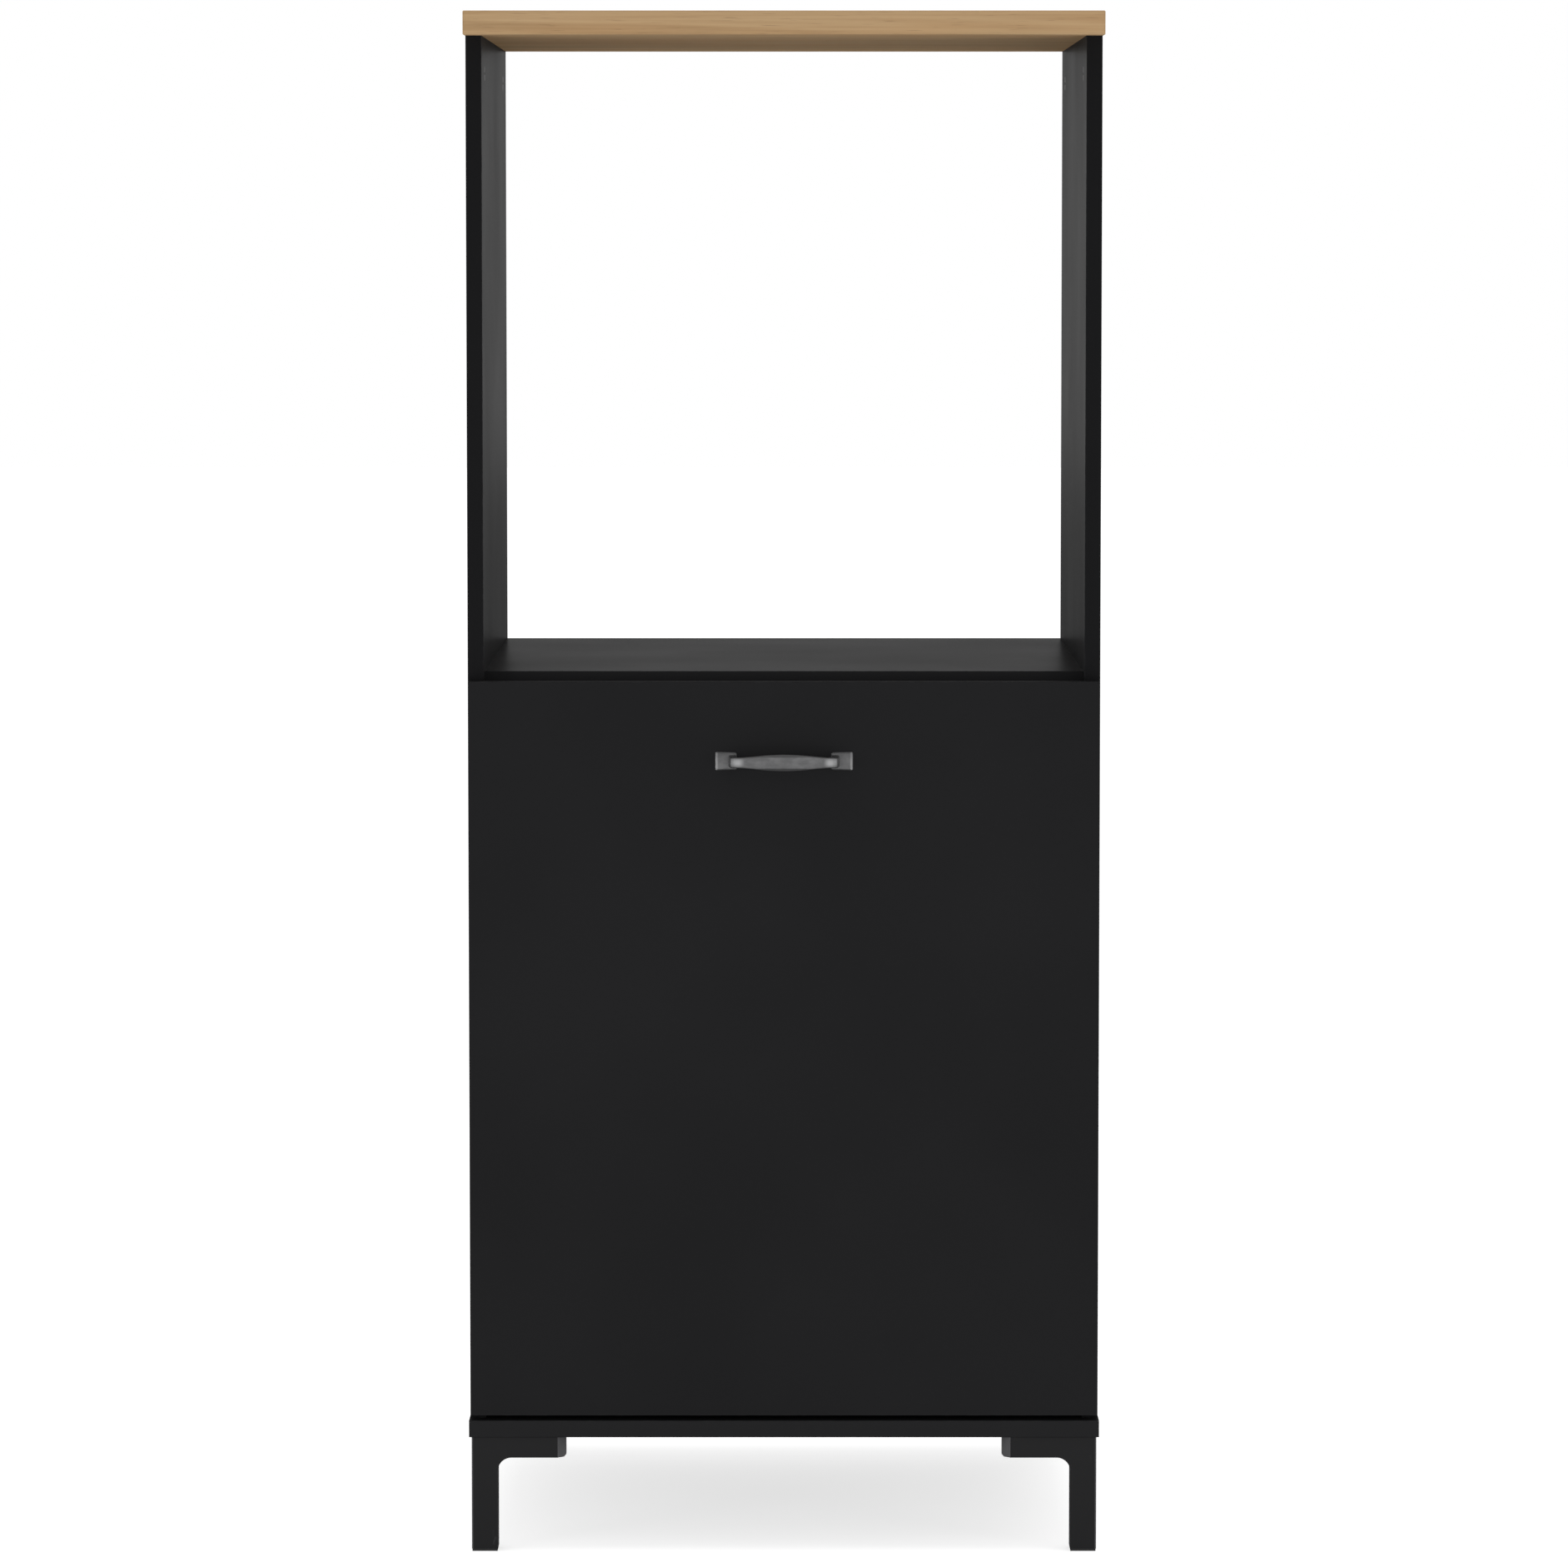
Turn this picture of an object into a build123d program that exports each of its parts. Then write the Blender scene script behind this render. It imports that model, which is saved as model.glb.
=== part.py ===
from build123d import *
import os
from math import ceil, copysign, cos, radians, sin, sqrt, tan

# Oven housing cabinet, in millimetres.
# +X is to the right, +Y to the back and +Z up.
# The origin is on the floor, under the middle of the cabinet's outline.

# Cabinet body
cabinet_width = 600.0  # worktop and base board
side_inset = 0.7  # each side panel stands in from the worktop's end
side_depth = 560.0
side_height = 1312.0
side_thickness = 15.0
worktop_thickness = 22.0
worktop_overhang = 40.0  # ahead of the side panels
worktop_edge = 0.8
base_thickness = 16.0
niche_height = 600.0
shelf_thickness = 15.0
shelf_setback = 30.0  # behind the side panels' front edges
back_thickness = 3.0
back_inset = 17.0  # from the rear edges to the back panel
groove_depth = 6.0
groove_play = 0.2
board_edge = 0.5  # broken edge of the black boards

# Front panel
front_thickness = 16.0
front_gap = 1.5  # between the front panel and the side panels
front_side_inset = 0.8  # from the side panels' outer faces
front_lap = 8.0  # how far the front covers the shelf's edge
front_bottom_gap = 5.0  # above the base board
bumper_radius = 5.0
bumper_thickness = 1.2
bumper_from_end = 40.0

# Handle, level and at the middle of the front
handle_drop = 75.0  # from the front's top edge to the handle's centre line
handle_length = 130.0
handle_projection = 26.0
handle_screw_spacing = 96.0
handle_foot_width = 20.5
handle_foot_end_height = 18.4
handle_foot_inner_height = 17.0
handle_foot_thickness = 2.6
handle_foot_edge = 1.0
handle_leg_thickness = 7.0
handle_bar_thickness = 6.0
handle_outer_bend = 10.0
handle_inner_bend = 4.0
handle_crown = 1.5  # how far the bar's middle stands ahead of its ends
handle_waist_span = 84.0
handle_waist_height = 10.2
handle_belly_height = 15.4

# Legs
leg_height = 110.0
leg_width = 25.0
leg_inset = 2.3  # from the edges of the base board
leg_arm_length = 90.0
leg_arm_height = 20.0
leg_fillet = 13.0
leg_end_bevel = 8.0  # on the two upright corners of an arm's end
leg_end_edge = 2.0
leg_corner = 2.5
leg_wall = 3.0
leg_screw_reach = 62.0  # from the leg's outer corner
glide_flange = 2.0
glide_plug = 12.0
glide_inset = 0.5
glide_play = 0.1

# Screws, cams and dowels: their round sections are drawn with flat sides
screw_sides = 6
cam_sides = 12
fit_play = 0.05  # between a shank, dowel or cam and its hole
leg_screw_length = 31.0
leg_screw_radius = 2.5
leg_screw_head = 4.5
base_screw_length = 50.0
base_screw_radius = 2.5
base_screw_head = 5.0
base_screw_pitch = 340.0
runner_screw_length = 12.0
runner_screw_radius = 1.75
runner_screw_head = 3.5
front_screw_length = 24.0
front_screw_radius = 2.0
front_screw_head = 4.0
handle_screw_radius = 2.0
handle_screw_head = 3.8
handle_screw_head_height = 2.4
handle_screw_bite = 8.0  # length inside the handle's foot
cam_radius = 7.5
cam_height = 12.5
cam_axis = 7.5  # depth of its bolt below the board's face
cam_reach = 34.0  # from the joint to a cam's centre
cam_slot_length = 9.0
cam_slot_width = 1.4
cam_slot_depth = 2.0
cam_bolt_radius = 3.0
cam_bolt_neck_radius = 2.0
cam_bolt_neck = 5.0
cam_bolt_head = 3.0
cam_thread_radius = 2.5
cam_thread_length = 11.0
cam_play = 0.3
dowel_radius = 4.0
dowel_length = 30.0
dowel_in_side = 10.0
dowel_in_worktop = 12.0
joint_from_front = 70.0  # from the side panel's front edge to the first cam
joint_from_rear = 70.0
dowel_offset = 32.0  # from a cam to its dowel

# Drawer boxes behind the front
box_depth = 500.0
box_board = 12.0
box_floor = 4.0
box_floor_rise = 12.0
box_groove = 5.0
box_housing = 2.0  # how deep the inner front and the back stand in the sides
front_screw_inset = 60.0
lower_box_level = 14.0  # above the base board
lower_box_height = 240.0
upper_box_level = 350.0
upper_box_height = 160.0

# Telescopic runners
runner_length = 500.0
runner_height = 45.0
runner_setback = 2.0  # behind the side panel's front edge
runner_rise = 64.0  # from a box's lower edge to its runner's centre line
runner_sheet = 1.0
runner_bend = 1.0  # radius of the sheet's middle line
runner_facet = 30.0  # degrees that a bend or groove turns between its flats
shortest_edge = 0.01
runner_lip = 70.0  # degrees that the cabinet member's lip turns over its balls
runner_inner_lip = 105.0  # degrees that the middle member turns over its inner balls
runner_travel = 500.0
runner_rear_play = 3.0  # between the sliding members and the stop
runner_stop_height = 18.0
runner_screw_from_end = 40.0
ball_radius = 1.6
ball_play = 0.1
ball_turn = 45.0  # degrees between two of a ball's flats
ball_pitch = 60.0
balls_in_row = 3
cage_sheet = 0.5
cage_gap = 0.3
cage_tab = 1.0  # how far a cage reaches past its balls' centres
cage_length = 190.0
cage_margin = 30.0  # left to a member's end with the front pulled out
inner_cage_drop = 0.35  # below the balls' centres

# Widths and levels worked out from the sizes above
carcass_width = cabinet_width - 2 * side_inset
inner_width = carcass_width - 2 * side_thickness
base_top = leg_height + base_thickness
side_top = base_top + side_height
shelf_top = side_top - niche_height
shelf_bottom = shelf_top - shelf_thickness
shelf_middle = shelf_top - shelf_thickness / 2
front_bottom = base_top + front_bottom_gap
front_top = shelf_bottom + front_lap
front_height = front_top - front_bottom
front_width = carcass_width - 2 * front_side_inset

# Depths, from the rear edges forwards
front_reach = max(worktop_overhang, front_gap + front_thickness + handle_projection)
rear_y = (side_depth + front_reach) / 2
side_front_y = rear_y - side_depth
worktop_front_y = side_front_y - worktop_overhang
front_back_y = side_front_y - front_gap
front_face_y = front_back_y - front_thickness
shelf_front_y = side_front_y + shelf_setback
back_middle_y = rear_y - back_inset - back_thickness / 2
side_middle_y = (side_front_y + rear_y) / 2
side_middle_x = -(inner_width + side_thickness) / 2

# Handle
handle_level = front_top - handle_drop
handle_leg_outer = (handle_screw_spacing + handle_leg_thickness) / 2
handle_leg_inner = (handle_screw_spacing - handle_leg_thickness) / 2
handle_foot_inner = handle_length / 2 - handle_foot_width
handle_shoulder = handle_projection - handle_crown
handle_from_above = Plane((0, front_face_y, handle_level), x_dir=(1, 0, 0), z_dir=(0, 0, -1))
handle_from_front = Plane((0, front_face_y, handle_level), x_dir=(1, 0, 0), z_dir=(0, -1, 0))

# Leg at the front left corner; the plane in the middle mirrors it to the rear
leg_corner_x = -cabinet_width / 2 + leg_inset
leg_front_y = front_face_y + leg_inset
leg_rear_y = rear_y - leg_inset
leg_middle = Plane((0, (leg_front_y + leg_rear_y) / 2, 0), z_dir=(0, 1, 0))
leg_bore = leg_width - 2 * leg_wall
arm_underside = leg_height - leg_arm_height

# Levels of the two boxes and of their runners
box_sizes = {
    "lower": (base_top + lower_box_level, lower_box_height),
    "upper": (base_top + upper_box_level, upper_box_height),
}
runner_levels = {name: bottom + runner_rise for name, (bottom, height) in box_sizes.items()}

# Section of a runner: U runs from the side panel to the box and V is up.
# Two rows of balls lie between three members, in grooves that follow the balls.
flange_level = (runner_height - runner_sheet) / 2
groove = ball_radius + ball_play + runner_sheet / 2
groove_step = groove * cos(radians(45))
bend_step = runner_bend * cos(radians(45))
cabinet_web = runner_sheet / 2
outer_cage_web = runner_sheet + cage_gap + cage_sheet / 2
middle_web = runner_sheet + 2 * cage_gap + cage_sheet + runner_sheet / 2
inner_cage_web = middle_web + (runner_sheet + cage_sheet) / 2 + cage_gap
outer_ball_u = middle_web + runner_bend + bend_step + groove_step
outer_ball_v = flange_level - groove
inner_ball_u = outer_ball_u + 2 * groove_step
inner_ball_v = outer_ball_v - 2 * groove_step
drawer_web = inner_ball_u + groove_step + bend_step + runner_bend
runner_width = drawer_web + runner_sheet / 2
runner_front_y = side_front_y + runner_setback
runner_rear_y = runner_front_y + runner_length
runner_section = Plane((-inner_width / 2, runner_front_y, 0), x_dir=(1, 0, 0), z_dir=(0, -1, 0))
member_length = runner_length - runner_sheet - runner_rear_play
cage_setback = runner_travel / 4 + cage_margin

# Boxes between the runners
box_width = inner_width - 2 * runner_width
box_inner_width = box_width - 2 * box_board
box_front_y = front_back_y
box_rear_y = box_front_y + box_depth
box_middle_y = (box_front_y + box_rear_y) / 2

# Places of screws, cams and dowels on the left half: each plane's Z points out of the hole
leg_screw_places = [
    Plane((leg_corner_x + x, corner_y + inward * y, arm_underside), z_dir=(0, 0, -1))
    for corner_y, inward in ((leg_front_y, 1), (leg_rear_y, -1))
    for x, y in ((leg_screw_reach, leg_width / 2), (leg_width / 2, leg_screw_reach))
]
base_screw_places = [
    Plane((side_middle_x, side_middle_y + step * base_screw_pitch, leg_height), z_dir=(0, 0, -1))
    for step in (-1 / 2, 1 / 2)
]
cam_rows = (side_front_y + joint_from_front, rear_y - joint_from_rear)
dowel_rows = (cam_rows[0] + dowel_offset, cam_rows[1] - dowel_offset)
shelf_cam_places = [
    Plane((cam_reach - inner_width / 2, y, shelf_bottom), x_dir=(-1, 0, 0), z_dir=(0, 0, -1))
    for y in cam_rows
]
shelf_bolt_places = [
    Plane((-inner_width / 2, y, shelf_bottom + cam_axis), z_dir=(1, 0, 0)) for y in cam_rows
]
shelf_dowel_places = [
    Plane((-inner_width / 2, y, shelf_middle), z_dir=(1, 0, 0)) for y in dowel_rows
]
top_cam_places = [
    Plane((-inner_width / 2, y, side_top - cam_reach), x_dir=(0, 0, 1), z_dir=(1, 0, 0))
    for y in cam_rows
]
top_bolt_places = [
    Plane((-inner_width / 2 - cam_axis, y, side_top), z_dir=(0, 0, -1)) for y in cam_rows
]
top_dowel_places = [Plane((side_middle_x, y, side_top), z_dir=(0, 0, -1)) for y in dowel_rows]
cabinet_screw_places = [
    Plane((runner_sheet - inner_width / 2, y, level), z_dir=(1, 0, 0))
    for level in runner_levels.values()
    for y in (runner_front_y + runner_screw_from_end, runner_rear_y - runner_screw_from_end)
]
drawer_screw_places = [
    Plane((-box_width / 2 - runner_sheet, y, level), z_dir=(-1, 0, 0))
    for level in runner_levels.values()
    for y in (
        runner_front_y + runner_screw_from_end,
        runner_front_y + member_length - runner_screw_from_end,
    )
]
front_screw_places = [
    Plane(
        (front_screw_inset - box_inner_width / 2, box_front_y + box_board, bottom + height / 2),
        z_dir=(0, 1, 0),
    )
    for bottom, height in box_sizes.values()
]
handle_screw_places = [
    Plane((-handle_screw_spacing / 2, front_back_y, handle_level), z_dir=(0, 1, 0))
]


def save(piece, name):
    """Label a finished piece and write it as its own node."""
    piece.part.label = name
    export_step(piece.part, f"parts/{name}.step")


def save_both_sides(left_piece, name):
    """Save a piece of the left side, and its mirror image on the right."""
    save(left_piece, f"{name}_left")
    with BuildPart() as right_piece:
        mirror(left_piece.part, about=Plane.YZ)
    save(right_piece, f"{name}_right")


def save_fasteners(shape, places, name):
    """Put a shape at the left half's places and mirror them, as one node."""
    with BuildPart() as pieces:
        with Locations(*places):
            add(shape)
        mirror(about=Plane.YZ)
    save(pieces, name)


def bar(radius, length, sides=screw_sides):
    """Flat-sided round bar from the origin up Z, or down with a negative length."""
    with BuildPart() as piece:
        with BuildSketch():
            RegularPolygon(radius, sides)
        extrude(amount=length)
    return piece.part


def countersunk(radius, head_radius, length, play=0.0):
    """Countersunk screw down -Z from its head's face; with play it is the hole for one."""
    with BuildPart() as screw:
        with BuildSketch():
            RegularPolygon(head_radius + play, screw_sides)
        with BuildSketch(Plane.XY.offset(radius - head_radius)):
            RegularPolygon(radius + play, screw_sides)
        loft(ruled=True)
        add(bar(radius + play, -length - play))
    return screw.part


def drill(hole, places):
    """Cut the same hole at each place in the part that is being made."""
    with Locations(*places):
        add(hole, mode=Mode.SUBTRACT)


def round_corner(point, radius):
    """Round the corner nearest to a point in the sketch that is being drawn."""
    fillet(vertices().sort_by_distance(point)[0], radius)


# Holes that several boards share
leg_screw_hole = countersunk(leg_screw_radius, leg_screw_head, leg_screw_length, fit_play)
base_screw_hole = countersunk(base_screw_radius, base_screw_head, base_screw_length, fit_play)
runner_screw_hole = countersunk(
    runner_screw_radius, runner_screw_head, runner_screw_length, fit_play
)
front_screw_hole = countersunk(front_screw_radius, front_screw_head, front_screw_length, fit_play)
cam_pocket = bar(cam_radius, -cam_height, cam_sides)
bolt_thread_hole = bar(cam_thread_radius + fit_play, -cam_thread_length - fit_play)
bolt_way = bar(cam_bolt_radius + cam_play, cam_reach)

os.makedirs("parts", exist_ok=True)

# Worktop: the right half is drilled like the left one
with BuildPart() as worktop:
    with BuildSketch(Plane.XY.offset(side_top)):
        with Locations((0, (worktop_front_y + rear_y) / 2)):
            Rectangle(cabinet_width, rear_y - worktop_front_y)
    extrude(amount=worktop_thickness)
    chamfer(worktop.edges().filter_by(Axis.Z), worktop_edge)
    chamfer(worktop.faces().sort_by(Axis.Z)[-1].edges(), worktop_edge)
    drill(bolt_thread_hole, top_bolt_places)
    drill(bar(dowel_radius + fit_play, -dowel_in_worktop - fit_play), top_dowel_places)
    mirror(about=Plane.YZ, mode=Mode.INTERSECT)
save(worktop, "worktop")

# Side panels
with BuildPart() as side_panel:
    with BuildSketch(Plane.XY.offset(base_top)):
        with Locations((side_middle_x, side_middle_y)):
            Rectangle(side_thickness, side_depth)
    extrude(amount=side_height)
    chamfer(side_panel.faces().sort_by(Axis.Y)[0].edges().filter_by(Axis.Z), board_edge)
    # groove for the back panel, as high as the shelf's own groove
    with BuildSketch(Plane.XY.offset(base_top)):
        with Locations((-inner_width / 2, back_middle_y)):
            Rectangle(2 * groove_depth, back_thickness + groove_play)
    extrude(amount=shelf_bottom + groove_depth - base_top, mode=Mode.SUBTRACT)
    # joint with the worktop
    drill(cam_pocket, top_cam_places)
    drill(bolt_way, top_bolt_places)
    top_dowel_depth = dowel_length - dowel_in_worktop + fit_play
    drill(bar(dowel_radius + fit_play, top_dowel_depth), top_dowel_places)
    # joint with the shelf
    drill(bolt_thread_hole, shelf_bolt_places)
    drill(bar(dowel_radius + fit_play, -dowel_in_side - fit_play), shelf_dowel_places)
    # screws of the base board and of the runners
    drill(base_screw_hole, base_screw_places)
    drill(runner_screw_hole, cabinet_screw_places)
save_both_sides(side_panel, "side_panel")

# Shelf that carries the oven, with cams in its underside
with BuildPart() as oven_shelf:
    with BuildSketch(Plane.XY.offset(shelf_bottom)):
        with Locations((0, (shelf_front_y + rear_y) / 2)):
            Rectangle(inner_width, rear_y - shelf_front_y)
    extrude(amount=shelf_thickness)
    chamfer(oven_shelf.faces().sort_by(Axis.Y)[0].edges().filter_by(Axis.X), board_edge)
    with BuildSketch(Plane.XY.offset(shelf_bottom)):
        with Locations((0, back_middle_y)):
            Rectangle(inner_width, back_thickness + groove_play)
    extrude(amount=groove_depth, mode=Mode.SUBTRACT)
    drill(cam_pocket, shelf_cam_places)
    drill(bolt_way, shelf_bolt_places)
    shelf_dowel_depth = dowel_length - dowel_in_side + fit_play
    drill(bar(dowel_radius + fit_play, shelf_dowel_depth), shelf_dowel_places)
    mirror(about=Plane.YZ, mode=Mode.INTERSECT)
save(oven_shelf, "oven_shelf")

# Base board under the sides, flush with the front panel's face
with BuildPart() as base_board:
    with BuildSketch(Plane.XY.offset(leg_height)):
        with Locations((0, (front_face_y + rear_y) / 2)):
            Rectangle(cabinet_width, rear_y - front_face_y)
    extrude(amount=base_thickness)
    chamfer(base_board.faces().sort_by(Axis.Y)[0].edges(), board_edge)
    with BuildSketch(Plane.XY.offset(base_top)):
        with Locations((0, back_middle_y)):
            Rectangle(inner_width + 2 * groove_depth, back_thickness + groove_play)
    extrude(amount=-groove_depth, mode=Mode.SUBTRACT)
    drill(base_screw_hole, base_screw_places)
    drill(leg_screw_hole, leg_screw_places)
    mirror(about=Plane.YZ, mode=Mode.INTERSECT)
save(base_board, "base_board")

# Back panel of the closed part, standing in the base board's groove
with BuildPart() as back_panel:
    with BuildSketch(Plane.XY.offset(base_top - groove_depth)):
        with Locations((0, back_middle_y)):
            Rectangle(inner_width + 2 * (groove_depth - groove_play), back_thickness)
    extrude(amount=shelf_bottom - base_top + 2 * groove_depth - groove_play)
save(back_panel, "back_panel")


def leg_elevation(plane, corner):
    """Side view of the post with one arm, from the leg's outer corner."""
    with BuildSketch(plane) as elevation:
        with BuildLine():
            Polyline(
                (corner, glide_flange),
                (corner + leg_width, glide_flange),
                (corner + leg_width, arm_underside),
                (corner + leg_arm_length, arm_underside),
                (corner + leg_arm_length, leg_height),
                (corner, leg_height),
                close=True,
            )
        make_face()
        round_corner((corner + leg_width, arm_underside), leg_fillet)
        inner_end = (corner + leg_arm_length, arm_underside)
        chamfer(vertices().sort_by_distance(inner_end)[0], leg_end_edge)
    return elevation.sketch


# Corner leg: a square post under a head of two arms, cast in one piece
with BuildPart() as front_leg:
    leg_from_front = Plane((0, leg_front_y, 0), x_dir=(1, 0, 0), z_dir=(0, -1, 0))
    extrude(leg_elevation(leg_from_front, leg_corner_x), amount=-leg_width)
    leg_from_right = Plane((leg_corner_x, 0, 0), x_dir=(0, 1, 0), z_dir=(1, 0, 0))
    extrude(leg_elevation(leg_from_right, leg_front_y), amount=leg_width)
    # outline from above, with bevelled ends of the arms
    with BuildSketch():
        with Locations((leg_corner_x, leg_front_y)):
            Rectangle(leg_arm_length, leg_width, align=Align.MIN)
            Rectangle(leg_width, leg_arm_length, align=Align.MIN)
        round_corner((leg_corner_x, leg_front_y), leg_corner)
        arm_ends = vertices().group_by(Axis.X)[-1] + vertices().group_by(Axis.Y)[-1]
        chamfer(arm_ends, leg_end_bevel)
    extrude(amount=leg_height, mode=Mode.INTERSECT)
    # hollow of the post, open at the foot
    with BuildSketch(Plane.XY.offset(glide_flange)):
        with Locations((leg_corner_x + leg_wall, leg_front_y + leg_wall)):
            Rectangle(leg_bore, leg_bore, align=Align.MIN)
    extrude(amount=arm_underside - leg_wall - glide_flange, mode=Mode.SUBTRACT)
    drill(leg_screw_hole, leg_screw_places)
save_both_sides(front_leg, "leg_front")

with BuildPart() as rear_leg:
    mirror(front_leg.part, about=leg_middle)
save_both_sides(rear_leg, "leg_rear")

# Glides plugged into the posts
with BuildPart() as leg_glides:
    with BuildSketch():
        with Locations((leg_corner_x + leg_width / 2, leg_front_y + leg_width / 2)):
            Rectangle(leg_width - 2 * glide_inset, leg_width - 2 * glide_inset)
    extrude(amount=glide_flange)
    with BuildSketch(Plane.XY.offset(glide_flange)):
        with Locations((leg_corner_x + leg_width / 2, leg_front_y + leg_width / 2)):
            Rectangle(leg_bore - 2 * glide_play, leg_bore - 2 * glide_play)
    extrude(amount=glide_plug)
    mirror(about=leg_middle)
    mirror(about=Plane.YZ)
save(leg_glides, "leg_glides")

# Countersunk screws
leg_screw = countersunk(leg_screw_radius, leg_screw_head, leg_screw_length)
save_fasteners(leg_screw, leg_screw_places, "leg_screws")
base_screw = countersunk(base_screw_radius, base_screw_head, base_screw_length)
save_fasteners(base_screw, base_screw_places, "base_screws")
runner_screw = countersunk(runner_screw_radius, runner_screw_head, runner_screw_length)
save_fasteners(runner_screw, cabinet_screw_places, "cabinet_runner_screws")
save_fasteners(runner_screw, drawer_screw_places, "drawer_runner_screws")
front_screw = countersunk(front_screw_radius, front_screw_head, front_screw_length)
save_fasteners(front_screw, front_screw_places, "front_screws")

# Cam, which takes its bolt's head from the side, half way through the board
cam_mouth = 2 * (cam_bolt_radius + cam_play)
with BuildPart() as cam_lock:
    add(bar(cam_radius - fit_play, fit_play - cam_height, cam_sides))
    with BuildSketch(Plane.YZ.offset(-cam_bolt_head / 2 - cam_play)):
        with Locations((0, -cam_axis)):
            Rectangle(cam_mouth, cam_mouth)
    extrude(amount=cam_bolt_head + cam_play + cam_radius, mode=Mode.SUBTRACT)
    with BuildSketch():
        Rectangle(cam_slot_length, cam_slot_width)
        Rectangle(cam_slot_width, cam_slot_length)
    extrude(amount=-cam_slot_depth, mode=Mode.SUBTRACT)
save_fasteners(cam_lock.part, shelf_cam_places + top_cam_places, "cam_locks")

# Cam bolt, with its thread below the joint and its head at the cam
bolt_head_end = cam_reach + cam_bolt_head / 2
bolt_neck_start = cam_reach - cam_bolt_head / 2 - cam_bolt_neck
with BuildPart() as cam_bolt:
    add(bar(cam_thread_radius, -cam_thread_length))
    add(bar(cam_bolt_radius, bolt_neck_start))
    add(bar(cam_bolt_neck_radius, bolt_head_end))
    with Locations((0, 0, bolt_head_end)):
        add(bar(cam_bolt_radius, -cam_bolt_head))
save_fasteners(cam_bolt.part, shelf_bolt_places + top_bolt_places, "cam_bolts")

with BuildPart() as wood_dowels:
    with Locations(*[place.offset(-dowel_in_side) for place in shelf_dowel_places]):
        add(bar(dowel_radius, dowel_length))
    with Locations(*[place.offset(-dowel_in_worktop) for place in top_dowel_places]):
        add(bar(dowel_radius, dowel_length))
    mirror(about=Plane.YZ)
save(wood_dowels, "wood_dowels")

# Front panel
with BuildPart() as front_panel:
    with BuildSketch(Plane.XZ.offset(-front_back_y)):
        with Locations((0, front_bottom + front_height / 2)):
            Rectangle(front_width, front_height)
    extrude(amount=front_thickness)
    chamfer(front_panel.faces().sort_by(Axis.Y)[0].edges(), board_edge)
    drill(front_screw_hole, front_screw_places)
    drill(bar(handle_screw_radius + fit_play, -front_thickness), handle_screw_places)
    mirror(about=Plane.YZ, mode=Mode.INTERSECT)
save(front_panel, "front_panel")

# Bumpers on the front panel's back, which meet the side panels' edges
with BuildPart() as front_bumpers:
    with BuildSketch(Plane.XZ.offset(-front_back_y)):
        for level in (front_bottom + bumper_from_end, front_top - bumper_from_end):
            with Locations((side_middle_x, level)):
                RegularPolygon(bumper_radius, cam_sides)
    extrude(amount=-bumper_thickness)
    mirror(about=Plane.YZ)
save(front_bumpers, "front_bumpers")

# Feet of the handle, a little lower towards the middle and with bevelled edges
with BuildPart() as handle_feet:
    with BuildSketch(handle_from_front):
        for end in (-1, 1):
            with BuildLine():
                Polyline(
                    (end * handle_length / 2, handle_foot_end_height / 2),
                    (end * handle_foot_inner, handle_foot_inner_height / 2),
                    (end * handle_foot_inner, -handle_foot_inner_height / 2),
                    (end * handle_length / 2, -handle_foot_end_height / 2),
                    close=True,
                )
            make_face()
    extrude(amount=handle_foot_thickness)
    chamfer(handle_feet.edges().group_by(Axis.Y)[0], handle_foot_edge)

# Bow handle: a flat arch of changing height over its two feet
with BuildPart() as handle:
    # the arch, seen from above
    with BuildSketch(handle_from_above):
        with BuildLine():
            ThreePointArc(
                (-handle_leg_outer, handle_shoulder),
                (0, handle_projection),
                (handle_leg_outer, handle_shoulder),
            )
            ThreePointArc(
                (-handle_leg_inner, handle_shoulder - handle_bar_thickness),
                (0, handle_projection - handle_bar_thickness),
                (handle_leg_inner, handle_shoulder - handle_bar_thickness),
            )
            for end in (-1, 1):
                Polyline(
                    (end * handle_leg_outer, handle_shoulder),
                    (end * handle_leg_outer, 0),
                    (end * handle_leg_inner, 0),
                    (end * handle_leg_inner, handle_shoulder - handle_bar_thickness),
                )
        make_face()
        for end in (-1, 1):
            round_corner((end * handle_leg_outer, handle_shoulder), handle_outer_bend)
            inner_corner = (end * handle_leg_inner, handle_shoulder - handle_bar_thickness)
            round_corner(inner_corner, handle_inner_bend)
    extrude(amount=handle_belly_height / 2, both=True)
    # the arch, seen from the front
    with BuildSketch(handle_from_front):
        with BuildLine():
            for side in (-1, 1):
                ThreePointArc(
                    (-handle_waist_span / 2, side * handle_waist_height / 2),
                    (0, side * handle_belly_height / 2),
                    (handle_waist_span / 2, side * handle_waist_height / 2),
                )
            for end in (-1, 1):
                Polyline(
                    (end * handle_waist_span / 2, handle_waist_height / 2),
                    (end * handle_length / 2, handle_waist_height / 2),
                    (end * handle_length / 2, -handle_waist_height / 2),
                    (end * handle_waist_span / 2, -handle_waist_height / 2),
                )
        make_face()
    extrude(amount=handle_projection, mode=Mode.INTERSECT)
    add(handle_feet.part)
    handle_hole_depth = front_thickness + handle_screw_bite + fit_play
    drill(bar(handle_screw_radius + fit_play, -handle_hole_depth), handle_screw_places)
    mirror(about=Plane.YZ, mode=Mode.INTERSECT)
save(handle, "handle")

with BuildPart() as handle_screw:
    add(bar(handle_screw_radius, -front_thickness - handle_screw_bite))
    add(bar(handle_screw_head, handle_screw_head_height))
save_fasteners(handle_screw.part, handle_screw_places, "handle_screws")


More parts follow.
